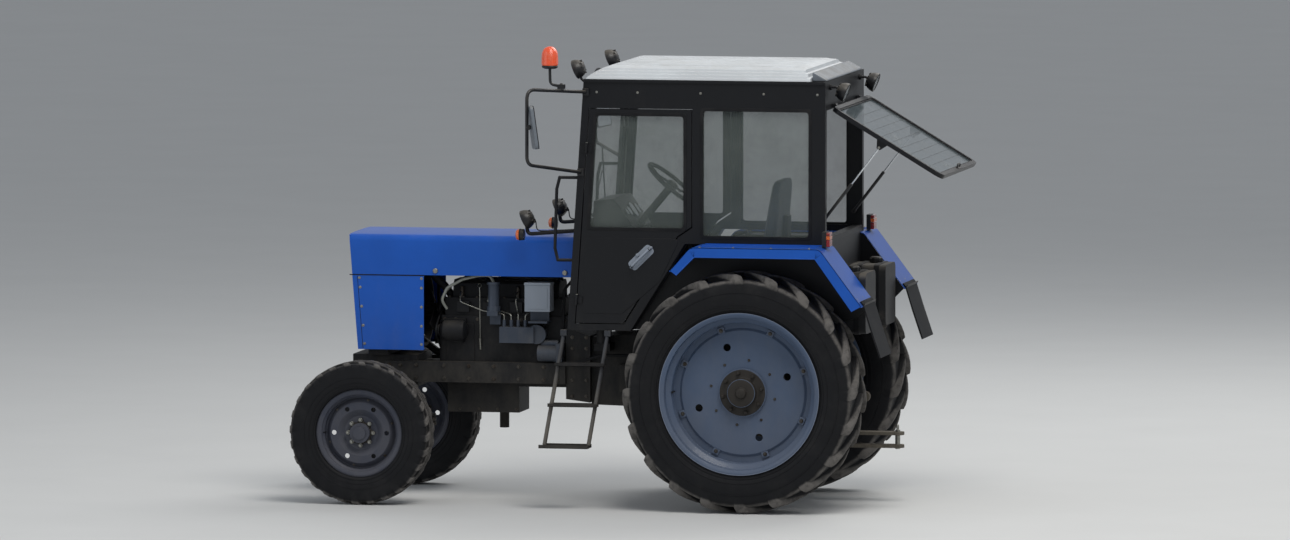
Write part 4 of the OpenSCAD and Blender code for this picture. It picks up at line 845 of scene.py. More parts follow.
def signal_lamps():
    """Indicators beside the bonnet and tail lamps on the fenders."""
    body, amber, red, dark = [], [], [], []
    for s in (1, -1):
        front = (1452.5, s * 500, 1690), (1, 0, 0), 32
        body.append(capped([(33, 0), (36, 4), (36, 26)], *front))
        amber.append(turned([(0.01, 57), (20, 55), (31, 48), (35, 38), (35, 26), (0.01, 26)], *front))
        dark.append(turned([(36.5, 24), (37.5, 26), (37.5, 30), (35, 31)], *front))
        a = sorted((s * 702, s * 798))
        body.append(box((-524, -497), a, (1660, 1757)))
        for low, high, store in ((1664, 1706, red), (1709, 1731, amber), (1734, 1753, red)):
            store.append(box((-546, -523), (a[0] + 4, a[1] - 4), (low, high)))
    piece("lamp_bodies", body, LAMP_BLACK, bevel=2, replaces=("signal_lamps",))
    piece("amber_lenses", amber, AMBER_LENS, bevel=2)
    piece("red_lenses", red, RED_LENS, bevel=4)
    piece("lamp_gaskets", dark, RUBBER)


def work_lamps():
    """Round work lamps on brackets: housing with ribs, ring, chrome bowl and clear front."""
    housings, rings, bowls, fronts = [], [], [], []
    places = [((1105, 520, 2736), 22, 1), ((-578, 500, 2612), 22, -1), ((1436, 500, 1790), 26, 1)]
    for place, tilt, way in places:
        for s in (1, -1):
            axis = (way * cos(radians(tilt)), 0, -sin(radians(tilt)))
            m = facing((place[0], s * place[1], place[2]), axis)
            shell = [(0.01, -44), (22, -43), (38, -36), (50, -22), (58, -4), (60.5, 8), (60.5, 18), (0.01, 18)]
            housings.append(moved(lathe(shell, 36), m))
            for k in range(5):
                housings.append(moved(box((-2, 2), (-46, 46), (-40, -20)), m @ spin(36 * k, "Z")))
            bezel = [(61.5, 14), (62, 20), (58, 23.5), (54, 22), (54, 18), (60, 13)]
            rings.append(moved(lathe(bezel, 40, ring=True), m))
            bowls.append(moved(lathe([(6, -14), (26, -8), (42, 4), (54, 18)], 32), m))
            fronts.append(moved(lathe([(0.01, 23), (30, 22.4), (54, 19.5), (54, 18), (0.01, 20)], 32), m))
    posts = []
    for s in (1, -1):
        posts.append(tube([(pillar_x(2680) + 4, s * 520, 2640), (1084, s * 520, 2672), (1092, s * 520, 2700)], 8,
                          bend=14))
        posts.append(disc(18, 12, (pillar_x(2680) + 0.4, s * 520, 2640), (1, 0, 0), 24))
        posts.append(tube([(-496, s * 500, 2640), (-530, s * 500, 2640), (-556, s * 500, 2622)], 8, bend=14))
        posts.append(disc(18, 12, (-490.4, s * 500, 2640), (-1, 0, 0), 24))
        posts.append(tube([(1086, s * 500, 1722), (1432, s * 500, 1694), (1437, s * 500, 1752)], 12, bend=40))
        y = sorted((s * 460, s * 540))
        posts.append(box((1082.6, 1090), y, (1702, 1742)))
        posts += bolts([(1090, y[0] + 12, 1722), (1090, y[1] - 12, 1722)], (1, 0, 0), 7, 5)
    piece("work_lamp_housings", housings, LAMP_BLACK, bevel=1.2, replaces=("work_lamps",))
    piece("work_lamp_rings", rings, LAMP_BLACK)
    piece("work_lamp_bowls", bowls, CHROME)
    piece("work_lamp_fronts", fronts, LENS_GLASS)
    piece("lamp_posts", posts, FRAME_BLACK, bevel=0.8)
    course = ((1404, 500, 1800), (1380, 502, 1780), (1372, 504, 1716), (1300, 502, 1716), (1100, 500, 1730))
    piece("lamp_cables", [tube([(x, s * y, z) for x, y, z in course], 3.5, 8, bend=30) for s in (1, -1)], RUBBER)


def beacon():
    m = facing((1224, 812, 2752), (0, 0, 1))
    dome = curve_profile([(0.01, 140), (16, 138), (31, 130), (43, 116), (50, 96), (52, 74), (52, 50), (52, 26)], 3)
    dome += [(50, 22), (0.01, 22)]
    piece("beacon_dome", [moved(lathe(dome, 48), m)], BEACON_LENS, replaces=("beacon",))
    base = [(0.01, 22), (46, 22), (50, 18), (50, 10), (44, 4), (34, 0), (0.01, 0)]
    stem = tube([(1150, 816, 2642), (1222, 812, 2656), (1224, 812, 2752)], 9, bend=34)
    foot = box((1128, 1172), (796, 838), (2627.8, 2656))
    piece("beacon_base", [moved(lathe(base, 40), m), stem, foot] + bolts([(1150, 817, 2656)], (0, 0, 1), 9, 6),
          LAMP_BLACK, bevel=1.5)
    feet, heads = ring_points(m, 51.2, 24, h=30), ring_points(m, 51.2, 24, h=74)
    piece("beacon_ribs", [tube(ends, 1.2, 6) for ends in zip(feet, heads)], BEACON_LENS)


def mirrors():
    arms, shells, panes, pads = [], [], [], []
    for s in (1, -1):
        pts = [(pillar_x(2600) - 20, 662, 2600), (1320, 1050, 2636), (1320, 1050, 2168),
               (pillar_x(2100) - 20, 662, 2098)]
        arms.append(tube([(x, s * y, z) for x, y, z in pts], 11, 14, bend=60, steps=8))
        for p in (pts[0], pts[3]):
            y = sorted((s * 650.3, s * 664))
            arms.append(box((p[0] - 20, p[0] + 20), y, (p[2] - 22, p[2] + 22)))
            arms += bolts([(p[0], s * 664, p[2] + 15), (p[0], s * 664, p[2] - 15)], (0, s, 0), 6, 5)
        turn = Matrix.Translation((1284, s * 1040, 2400)) @ spin(8, "Y") @ spin(20 * s, "Z")
        outline = rounded(block(-85, 85, -135, 135), 26)
        shells.append(moved(slab(outline, "X", -9, 12.5), turn))
        panes.append(moved(slab(inset(outline, 5), "X", -12.5, -9.2), turn))
        pads.append(moved(frame_ring(outline, inset(outline, 6), "X", -13, -9), turn))
        arms.append(disc(16, 14, (1310, s * 1046, 2400), (0, 1, 0), 20, -14))
    piece("mirror_arms", arms, LAMP_BLACK, bevel=1, replaces=("mirrors",))
    piece("mirror_shells", shells, MIRROR_BACK, bevel=4)
    piece("mirror_faces", panes, MIRROR)
    piece("mirror_rims", pads, RUBBER, bevel=1)


# Cab

FENDER = [(434, 1515), (307, 1659.6), (-512, 1659.6), (-775, 1310)]


def line_rounded(points, r, n=5):
    """An open line in a plane with its corners rounded."""
    return [(p.x, p.y) for p in rounded_corners([(a, b, 0) for a, b in points], r, n)]


def lowered(line, d):
    """A line moved d below itself, square to its direction."""
    out = []
    for i, (a, b) in enumerate(line):
        p, q = line[max(i - 1, 0)], line[min(i + 1, len(line) - 1)]
        v = Vector((q[0] - p[0], q[1] - p[1])).normalized()
        out.append((a - v.y * d, b + v.x * d))
    return out


def between(upper, under, axis, low, high):
    """A plate between two open lines with the same number of points, pulled out from low to high."""
    n = len(upper)
    points = slab(upper + under, axis, low, high)[0]
    faces = []
    for i in range(n - 1):
        for k in (0, 2 * n):
            faces.append((i + k, i + 1 + k, i + 1 + n + k, i + n + k))
        for k in (0, n):
            faces.append((i + k, i + 1 + k, i + 1 + k + 2 * n, i + k + 2 * n))
    for i in (0, n - 1):
        faces.append((i, i + n, i + 3 * n, i + 2 * n))
    return points, faces


def fenders():
    line = line_rounded(FENDER, 55)
    lip = lowered(line, 58)
    lip[0], lip[-1] = (396, 1487), (-716, 1278)
    sheets = [between(line, lowered(line, 4), "Y", 525, 955), between(line, lip, "Y", 951, 955)]
    sheets += [box((-470, 270), (y - 14, y + 14), (1659, 1664)) for y in (640, 740, 840)]
    piece("fender_sheets", both(sheets), BLUE, bevel=2, replaces=("fenders",))
    beads = [tube([(a, 952, b) for a, b in lip], 4.5, 8)]
    beads += [tube([(x, y, z - 3) for y in (528, 952)], 4.5, 8) for x, z in (FENDER[0], FENDER[-1])]
    piece("fender_beads", both(beads), BLUE)
    # The fender's inner side wall is painted black instead of the fender's blue: painted shade under the fender
    wall = lowered(line, 5) + [(-670, 1205), (-330, 1110), (744.7, 1110), (491, 1515)]
    piece("fender_walls_painted_shade", both([slab(wall, "Y", 525, 530)]), CAB_BLACK, bevel=1.5)
    heads = bolts([(x, y, 1660) for x in (-440, -200, 40, 250) for y in (560, 925)], (0, 0, 1), 7, 4)
    heads += bolts([(-738, y, 1350) for y in (560, 720, 910)], (-0.8, 0, 0.6), 8, 5)
    piece("fender_bolts", both(heads), STEEL, bevel=0.5)
    strip = [slab([(-777, 1304), (-790, 1328), (-793, 1326), (-780, 1302)], "Y", 540, 910)]
    piece("flap_strips", both(strip), FRAME_BLACK, bevel=1)


def roof():
    """The roof: stepped along its sides, ribbed on top, sloping at the front and stepped at the rear."""
    x0, x1, w = -395, 1031, 645
    steps = [(0, 2), (8, 15), (22, 17), (27, 32), (52, 35), (57, 49), (86, 52), (91, 64), (130, 71), (155, 74)]
    rear = [(0, 0), (3, 20), (22, 24), (26, 44), (46, 48), (50, 68), (70, 73), (95, 84)]
    edge, full, rib_pitch = steps[-1][0], rear[-1][1], 82

    def step_height(table, d):
        for (a, ha), (b, hb) in zip(table, table[1:]):
            if d < b:
                return ha + (hb - ha) * max(d - a, 0) / (b - a)
        return table[-1][1]

    def across(y):
        d = w - abs(y)
        h = step_height(steps, d)
        if d > edge:
            wave = cos(abs(y) / rib_pitch * 2 * pi)
            h += 8 * min(max(wave * 2.2 + 0.4, 0), 1) * min((d - edge) / 30, 1)
        return h

    def along(x):
        front = min(max((x1 - x) / 190, 0), 1)
        return min(step_height(rear, x - x0), full * sin(front * pi / 2) ** 0.8 + 3)
    xs = [x0 + d for d in (0, 3, 12, 22, 26, 36, 46, 50, 60, 70, 95, 130)]
    xs += [x0 + 130 + (x1 - 200 - x0 - 130) * i / 8 for i in range(1, 9)]
    xs += [x1 - d for d in (175, 150, 125, 100, 80, 60, 44, 30, 18, 8, 2, 0)]
    half = sorted({w - d for d, _ in steps} | {w - edge - 30} | {i * 6.0 for i in range(77)})
    ys = [-y for y in reversed(half[1:])] + half
    points, faces, n = [], [], len(ys)
    for x in xs:
        points += [Vector((x, y, 2680.5 + min(across(y), along(x)))) for y in ys]
    for i in range(len(xs) - 1):
        for k in range(n - 1):
            faces.append((i * n + k, (i + 1) * n + k, (i + 1) * n + k + 1, i * n + k + 1))
    base = len(points)
    rim = [i * n for i in range(len(xs))] + [(len(xs) - 1) * n + k for k in range(1, n)]
    rim += [i * n + n - 1 for i in range(len(xs) - 2, -1, -1)] + [k for k in range(n - 2, 0, -1)]
    points += [Vector((points[i].x, points[i].y, 2680.3)) for i in rim]
    m = len(rim)
    faces += [(rim[i], rim[(i + 1) % m], base + (i + 1) % m, base + i) for i in range(m)]
    faces.append(tuple(base + i for i in range(m - 1, -1, -1)))
    piece("roof_shell", [(points, faces)], WHITE, replaces=("cab_roof",), angle=40)
    slope = [(-398, 2738), (-398, 2680.5), (-489, 2680.5), (-484, 2692), (-430, 2722)]
    piece("roof_rear_cover", [slab(slope, "Y", -596, 596)], MIRROR_BACK, bevel=6)
    gutter = both([box((-488, 1046), (650.4, 660), (2662, 2666)), box((-488, 1046), (658, 661), (2662, 2676))])
    piece("rain_gutters", gutter, CAB_BLACK, bevel=1)
    vents = []
    for y in (-300, 300):
        for z in (2560, 2580, 2600, 2620):
            points, faces = box((pillar_x(2600) + 0.3, pillar_x(2600) + 3), (y - 60, y + 60), (z - 4, z + 4))
            vents.append(([Vector((p.x - (p.z - 2600) / 15, p.y, p.z)) for p in points], faces))
    piece("roof_vents", vents, LAMP_BLACK, bevel=1.5)
    screws = bolts([(x, 650.2, 2600) for x in (-440, -100, 300, 700, 960)], (0, 1, 0), 6, 3)
    piece("frame_screws", both(screws), STEEL, bevel=0.5)


DOOR_PANE = [(398, 1745), (pillar_x(1745) - 89, 1745), (pillar_x(2455) - 89, 2464), (398, 2464)]
SIDE_PANE = block(-395, 295, 1700, 2500)


def seals():
    """Rubber round the panes, with the doors' panels and pulls, the wiper and the hinge caps."""
    def ring(outline, low, high, grow=9, into=11):
        return frame_ring(rounded(inset(outline, -grow), 26), rounded(inset(outline, into), 22), "Y", low, high)
    piece("side_seals", both([ring(SIDE_PANE, 647, 653), ring(SIDE_PANE, 617, 623.8, 0)]), RUBBER, bevel=2)
    panel = rounded([(560, 1420), (800, 1215), (1050, 1215), (1030, 1690), (430, 1690)], 30)
    along = Matrix.Translation((677, 650, 1570)) @ spin(44.5, "Y")
    plate = rounded(block(-92, 92, -34, 34), 24)
    pull = [moved(slab(plate, "Y", -1, 3), along), moved(slab(inset(plate, 8), "Y", 3, 5), along),
            tube([(742, 651, 1506), (735, 685, 1513), (620, 685, 1626), (613, 651, 1633)], 9, 12, bend=20),
            capped([(9, 9), (11, 7), (11, 0)], (700, 652, 1585), (0, 1, 0), 20)]
    for body, turn in (("door_left", list), ("door_right", lambda shapes: [mirrored(q) for q in shapes])):
        seal = [ring(DOOR_PANE, 647, 653), ring(DOOR_PANE, 617, 623.8, 0)]
        piece(f"{body}_seal", turn(seal), RUBBER, body, bevel=2)
        piece(f"{body}_panel", turn([slab(panel, "Y", 649, 652.5)]), CAB_BLACK, body, bevel=3)
        piece(f"{body}_pull", turn(pull), COVER, body, bevel=1)

    def leaned(outline, hole, dx0, dx1):
        shape = frame_ring(outline, hole, "X", 0, 1)
        return [Vector((pillar_x(p.z) + (dx1 if p.x > 0.5 else dx0), p.y, p.z)) for p in shape[0]], shape[1]
    screen = block(-599, 599, 1746, 2499)
    outer, hole = rounded(screen, 30), rounded(inset(screen, 20), 26)
    piece("screen_seal", [leaned(outer, hole, -27.7, -20), leaned(outer, hole, -41, -34.3)], RUBBER, bevel=2)
    low = []
    for s in (1, -1):
        y = sorted((s * 370, s * 560))
        pane = block(*y, 1380, 1700)
        low.append(frame_ring(rounded(inset(pane, -10), 24), rounded(inset(pane, 9), 20), "X", 1081.5, 1086))
    piece("low_pane_seals", low, RUBBER, bevel=1.5)
    wiper = [capped([(10, 26), (14, 18), (16, 0)], (pillar_x(1790) - 27, 120, 1790), (1, 0, 0), 20),
             tube([(pillar_x(1790) - 8, 120, 1790), (pillar_x(2040) - 6, -90, 2050)], 3.5, 8),
             tube([(pillar_x(1860) - 17, -190, 1885), (pillar_x(2240) - 17, 20, 2210)], 4.5, 8),
             tube([(pillar_x(2040) - 6, -90, 2050), (pillar_x(2048) - 17, -85, 2048)], 5, 8)]
    piece("wiper", wiper, LAMP_BLACK)
    hinge_pins = []
    for z in (1300, 2250):
        x = pillar_x(z) - 48
        hinge_pins.append(turned([(0.01, 37), (5, 36), (8, 33), (8, 31.8), (0.01, 31.8)], (x, 662, z),
                                 (-PILLAR_BACK / PILLAR_RISE, 0, 1), 16))
    piece("hinge_caps", both(hinge_pins), STEEL)


# The rear window's hinge, and how far it is open at rest, in degrees
REAR_HINGE = (-510, 0, 2520)
REAR_OPEN = 59


def rear_window_trim():
    turn = Matrix.Translation(REAR_HINGE) @ spin(REAR_OPEN, "Y")
    outline = block(-570, 570, -800, -46)
    outer, hole = rounded(outline, 36), rounded(inset(outline, 10), 30)
    shapes = [moved(frame_ring(outer, hole, "X", a, b), turn) for a, b in ((-8, -3.2), (3.2, 8))]
    piece("rear_window_seal", shapes, RUBBER, "rear_window", bevel=1.5)
    catch = [box((13, 18), (-45, 45), (-826, -802)), box((-18, -13), (-50, 50), (-826, -802)),
             tube([(-15, -40, -812), (-36, -40, -802), (-36, 40, -802), (-15, 40, -812)], 5, 10, bend=10)]
    piece("rear_window_catch", [moved(q, turn) for q in catch], LAMP_BLACK, "rear_window", bevel=1.5)
    studs = [moved(disc(8, 9, (55, s * 575, -390), (0, s, 0), 16), turn) for s in (1, -1)]
    piece("strut_studs", studs, STEEL, "rear_window", bevel=1)
    lines = [moved(tube([(-3.4, -540, z), (-3.4, 540, z)], 0.7, 6), turn) for z in range(-150, -711, -70)]
    piece("heater_lines", lines, DARK_STEEL, "rear_window")


def ladder():
    top, foot = Vector((1030, 640, 1098)), Vector((1122, 800, 400))
    rails, plates, teeth = [], [], []
    for s in (-1, 1):
        o = Vector((s * 140, 0, 0))
        rails.append(tube([foot + o, top + o], 13, 16))
        rails.append(box((1030 + s * 140 - 20, 1030 + s * 140 + 20), (616, 664), (1074, 1109.7)))
    # Height of each step, how far it stands out, and its rows of teeth
    for z, out, rows in ((900, 50, 2), (650, 50, 2), (400, 110, 3)):
        p = foot + (top - foot) * (z - 400) / 698
        wide = (p.x - 156, p.x + 156)
        plates += [box(wide, (p.y - 20, p.y + out), (z - 12, z - 8)),
                   box(wide, (p.y + out - 4, p.y + out), (z - 12, z + 10)),
                   box(wide, (p.y - 20, p.y - 16), (z - 12, z + 10))]
        for k in range(rows):
            row = p.y + (out - 20) / rows * (k + 0.7)
            for i in range(14):
                tooth = (p.x - 143 + 22 * i, row, z - 8)
                teeth.append(capped([(3, 9), (6, 0)], tooth, (0, 0, 1), 8))
            bar_y = p.y - 14 + (out + 8) / rows * k
            plates.append(box((p.x - 152, p.x + 152), (bar_y, bar_y + 8), (z - 8, z - 2)))
    piece("ladder_rails", rails, LADDER_METAL, bevel=1.5, replaces=("ladder",))
    piece("ladder_steps", plates + teeth, FRAME_BLACK, bevel=0.8)


# Engine bay and drive line

def engine_bay():
    heads, pipes, injectors = [], [], []
    for x in (1345, 1500, 1650, 1800, 1955):
        for y in (-104, 104):
            heads.append(capped([(9, 12), (12, 8), (14, 0)], (x, y, 1366), (0, 0, 1), 20))
    for x in range(1300, 2020, 88):
        for y in (-158, 158):
            heads += bolts([(x, y, 1262)], (0, 0, 1), 10, 9)
    block_row = (1262, 1400, 1540, 1680, 1820, 1960, 2030), 190, (780, 1128), 9, 7
    sump_row = (1580, 1700, 1820, 1940), 150, (742, 560), 8, 6
    for xs, y, zs, r, h in (block_row, sump_row):
        for x in xs:
            for s in (1, -1):
                heads += bolts([(x, s * y, z) for z in zs], (0, s, 0), r, h)
    piece("engine_bolts", heads, DARK_STEEL, bevel=0.6)
    covers = [box((1300, 1470), (189, 196), (800, 900)), box((1840, 2020), (189, 196), (800, 1100)),
              box((1300, 1980), (-197, -189), (820, 1090)), box((1330, 1970), (-118, 118), (1369, 1374)),
              capped([(20, 26), (24, 20), (24, 0)], (1900, 0, 1372), (0, 0, 1), 28)]
    covers += [box((x, x + 6), (-118, 118), (1372, 1377)) for x in range(1560, 1801, 60)]
    covers += [box((x - 60, x + 60), (-196, -189), (840, 1070)) for x in (1450, 1620, 1790, 1960)]
    piece("engine_covers", covers, ENGINE_GREY, bevel=3)
    case = [box((1324, 1486), (219.2, 341.3), (1194, 1360)), box((1321, 1489), (217, 344), (1361, 1375)),
            box((1340, 1470), (341, 344), (1210, 1345))]
    piece("side_case", case, COVER, bevel=4)
    # From each outlet of the pump, in front, to its injector
    for x, end in ((1500, 1390), (1545, 1570), (1590, 1750), (1635, 1930)):
        pipes.append(tube([(x, 252.3, 1128), (x, 252.3, 1168), (x + (end - x) * 0.5, 214, 1185),
                           (end, 211, 1240), (end, 176, 1296), (end, 140, 1300)], 3.6, 8, bend=30))
        body = [(0.01, 74), (9, 74), (13, 62), (13, 20), (17, 0), (0.01, 0)]
        injectors.append(turned(body, (end, 138, 1258), (0, 0, 1), 20))
    piece("injector_pipes", pipes, STEEL)
    piece("injectors", injectors, DARK_STEEL, bevel=1)
    pale = tube([(2014, 206, 1192), (2040, 240, 1250), (2000, 256, 1330), (1900, 262, 1384), (1800, 264, 1409),
                 (1722, 266, 1412), (1700, 266, 1368)], 9, 12, bend=50)
    piece("pale_hose", [pale], PALE_HOSE)
    hoses = [tube([(2010, 60, 1262), (2060, 70, 1330), (2150, 80, 1420), (2260, 90, 1455), (2384, 96, 1462)],
                  26, 20, bend=80),
             tube([(2060, -60, 880), (2140, -80, 900), (2262, -100, 990)], 24, 20, bend=60),
             tube([(1290, 120, 1380), (1330, 60, 1392), (1500, 150, 1396), (1640, 170, 1396), (1680, 236, 1386),
                   (1686, 266, 1366)], 7, 10, bend=36),
             tube([(1430, 240, 1045), (1395, 236, 1060), (1380, 228, 1100), (1345, 226, 1160)], 8, 10, bend=30),
             tube([(1262, 206, 1010), (1262, 232, 1080), (1250, 236, 1330), (1180, 200, 1420), (1086, 190, 1440)],
                  9, 10, bend=50),
             tube([(1262, 206, 900), (1240, 300, 860), (1140, 320, 880), (1000, 318, 925), (700, 262, 925),
                   (420, 240, 940)], 10, 10, bend=50)]
    piece("hoses", hoses, RUBBER)
    places = (((2370, 96, 1461), (1, 0.05, 0.06)), ((2040, 66, 1306), (0.5, 0.1, 0.86)),
              ((2240, -97, 978), (0.8, -0.1, 0.5)))
    clips = [turned([(28, 7), (30, 7), (30, -7), (28, -7)], p, v, 24, ring=True) for p, v in places]
    piece("hose_clips", clips, STEEL)
    dip = [tube([(1800, 206, 1000), (1800, 214, 1300), (1802, 214, 1330)], 3, 8),
           turned([(12, 3), (15, 0), (12, -3), (9, 0)], (1802, 214, 1343), (0, 1, 0), 16, ring=True),
           tube([(1800, 192, 940), (1800, 210, 1010)], 7, 10)]
    piece("dipstick", dip, STEEL)
    gen = [turned([(0.01, 170), (40, 168), (62, 150), (66, 130), (66, 40), (60, 20), (30, 0), (0.01, 0)],
                  (1870, 252, 1060), (1, 0, 0), 36)]
    gen += [capped([(34, 24), (40, 18), (30, 12), (40, 6), (34, 0)], (2046, 252, 1060), (1, 0, 0), 32)]
    gen += [box((1900, 1960), (188, 250), (985, 1010)), box((1890, 2030), (190, 214), (1110, 1132))]
    piece("alternator", gen, ENGINE_GREY, bevel=2)
    # The belt runs round the crank, fan and alternator pulleys
    rounds = []
    for y, z, r in ((0, 930, 72), (0, 1172, 76), (252, 1060, 38)):
        rounds += [(y + r * cos(radians(a)), z + r * sin(radians(a))) for a in range(0, 360, 10)]
    piece("fan_belt", [tube([(2066, y, z) for y, z in convex(rounds)], 6, 6, loop=True)], RUBBER)
    shroud = turned([(225, 30), (231, 30), (231, -34), (225, -34)], (2222, 0, 1172), (1, 0, 0), 64, ring=True)
    piece("fan_shroud", [shroud], FRAME_BLACK)
    can = [(0.01, 150), (30, 150), (40, 144), (42, 20), (36, 6), (0.01, 0)]
    piece("oil_filter", [turned(can, (1450, -196, 860), (0.1, -1, -0.2), 32)], TRIM, bevel=1)
    air = [turned([(0.01, 330), (60, 326), (78, 306), (80, 30), (70, 6), (0.01, 0)], (1240, -60, 1478), (1, 0, 0), 40),
           tube([(1560, -60, 1478), (1640, -80, 1470), (1700, -120, 1400), (1720, -150, 1300), (1722, -170, 1230)],
                34, 20, bend=70)]
    air += [turned([(81, 8), (84, 8), (84, -8), (81, -8)], (x, -60, 1478), (1, 0, 0), 40, ring=True)
            for x in (1290, 1500)]
    piece("air_cleaner", air, FRAME_BLACK, bevel=1)


def convex(points):
    """The convex outline round points in a plane."""
    points = sorted(points)

    def turns_out(a, b, c):
        return (b[0] - a[0]) * (c[1] - a[1]) - (b[1] - a[1]) * (c[0] - a[0]) > 0

    def half(seq):
        out = []
        for p in seq:
            while len(out) > 1 and not turns_out(out[-2], out[-1], p):
                out.pop()
            out.append(p)
        return out[:-1]
    return half(points) + half(points[::-1])


# Height of the rear axle
AXLE_Z = 750


def drive_line():
    heads = []
    for y, xs, zs, r, h in ((268.2, (1290, 1380, 1540, 1700, 1860, 2020, 2200, 2300, 2370), (760, 840), 10, 8),
                            (250.2, (1110, 1200), (660, 760, 860, 960, 1030), 9, 7),
                            (200.2, (400, 520), (620, 720, 820, 920, 1020), 9, 7),
                            (245.2, (300, 180), (560, 640, 940, 1040), 9, 7)):
        heads += bolts([(x, y, z) for x in xs for z in zs], (0, 1, 0), r, h)
    piece("frame_bolts", both(heads), DARK_STEEL, bevel=0.6)
    rings = bolts(circle((0, 331, AXLE_Z), (0, 1, 0), 148, 12), (0, 1, 0), 9, 7)
    rings += bolts(circle((0, 500.5, AXLE_Z), (0, 1, 0), 102, 8), (0, 1, 0), 7, 5)
    piece("axle_bolts", both(rings), DARK_STEEL, bevel=0.6)
    flanges = [capped([(176, 16), (180, 10), (180, 0)], (0, 316, AXLE_Z), (0, 1, 0), 64),
               capped([(120, 12), (122, 8), (122, 0)], (0, 440, AXLE_Z), (0, 1, 0), 56),
               slab([(-6, 860), (6, 860), (6, 918), (-6, 910)], "Y", 335, 440)]
    piece("axle_flanges", both(flanges), CAST_GREY, bevel=2)
    lift = both([slab(rounded(block(-190, -110, 1020, 1092), 30), "Y", 232, 262),
                 tube([(-160, 247, 1052), (-330, 250, 1004), (-400, 252, 960)], [30, 26, 22], 14),
                 tube([(-400, 252, 960), (-408, 258, 640)], 15, 12),
                 disc(26, 26, (-400, 252, 958), (0, 1, 0), 24, -26)])
    lift += both([tube([(-180, 262, 560), (-300, 270, 590), (-420, 278, 618), (-560, 292, 640)], [24, 24, 22, 20], 12),
                  turned([(12, 22), (34, 20), (34, -20), (12, -22)], (-566, 292, 642), (0, 1, 0), 28)])
    piece("lift_arms", lift, HITCH, bevel=2)
    top = [capped([(30, 60), (36, 50), (62, 40), (64, 0)], (-250, 0, 900), (-1, 0, 0), 32),
           box((-300, -246), (-34, -16), (860, 960)), box((-300, -246), (16, 34), (860, 960)),
           disc(11, 40, (-282, 0, 900), (0, 1, 0), 16, -40)]
    piece("top_link_bracket", top, CAST_GREY, bevel=3)
    hood_line = arc(0, 660, 75, 0, 180, 12) + arc(0, 660, 75 * 0.94, 180, 0, 12)
    piece("shaft_guard", [slab(hood_line, "X", -250, -420)], FRAME_BLACK, bevel=1)
    plate = bolts(circle((-250.5, 0, 660), (-1, 0, 0), 88, 6, 0.3), (-1, 0, 0), 9, 7)
    plate += bolts([(-250.2, y, z) for y in (-210, 210) for z in (680, 800, 920)], (-1, 0, 0), 10, 8)
    plate += bolts([(-420.3, y, z) for y in (-120, 120) for z in (360, 440)], (-1, 0, 0), 12, 9)
    for s in (1, -1):
        plate += bolts([(x, s * 166.2, 478) for x in (-60, 60)], (0, s, 0), 11, 9)
    piece("rear_bolts", plate, DARK_STEEL, bevel=0.7)
    coupler = [(0.01, 44), (11, 44), (14, 38), (14, 20), (19, 18), (19, 0), (0.01, 0)]
    couplers = [turned(coupler, (-244, y, 985), (-0.94, 0, 0.34), 20) for y in (-150, -105, 105, 150)]
    piece("oil_couplers", couplers, STEEL, bevel=0.8)
    pin = [turned([(0.01, 64), (15.4, 62), (15.8, 58), (15.8, -58), (0.01, -60)], (-830, 0, 400), (0, 0, 1), 28),
           tube([(-830, -18, 458), (-830, -20, 492), (-830, 20, 492), (-830, 18, 458)], 5, 8, bend=14)]
    piece("tow_pin", pin, STEEL)
    outer, hole = rounded(block(165.5, 514.5, 1095.5, 1484.5), 48), rounded(block(169, 511, 1099, 1481), 45)
    straps = [frame_ring(outer, hole, "X", x - 17, x + 17) for x in (-660, -550)]
    piece("tank_straps", both(straps), FRAME_BLACK, bevel=1)
    filler = (-620, 380, 1478)
    lids = [capped([(30, 40), (38, 32), (38, 6), (35, 0)], filler, (0, 0, 1), 28)]
    for k in range(8):
        lids.append(moved(box((30, 42), (-6, 6), (4, 30)), Matrix.Translation(filler) @ spin(45 * k, "Z")))
    piece("tank_caps", both(lids), LAMP_BLACK, bevel=1.5)


# Inside the cab

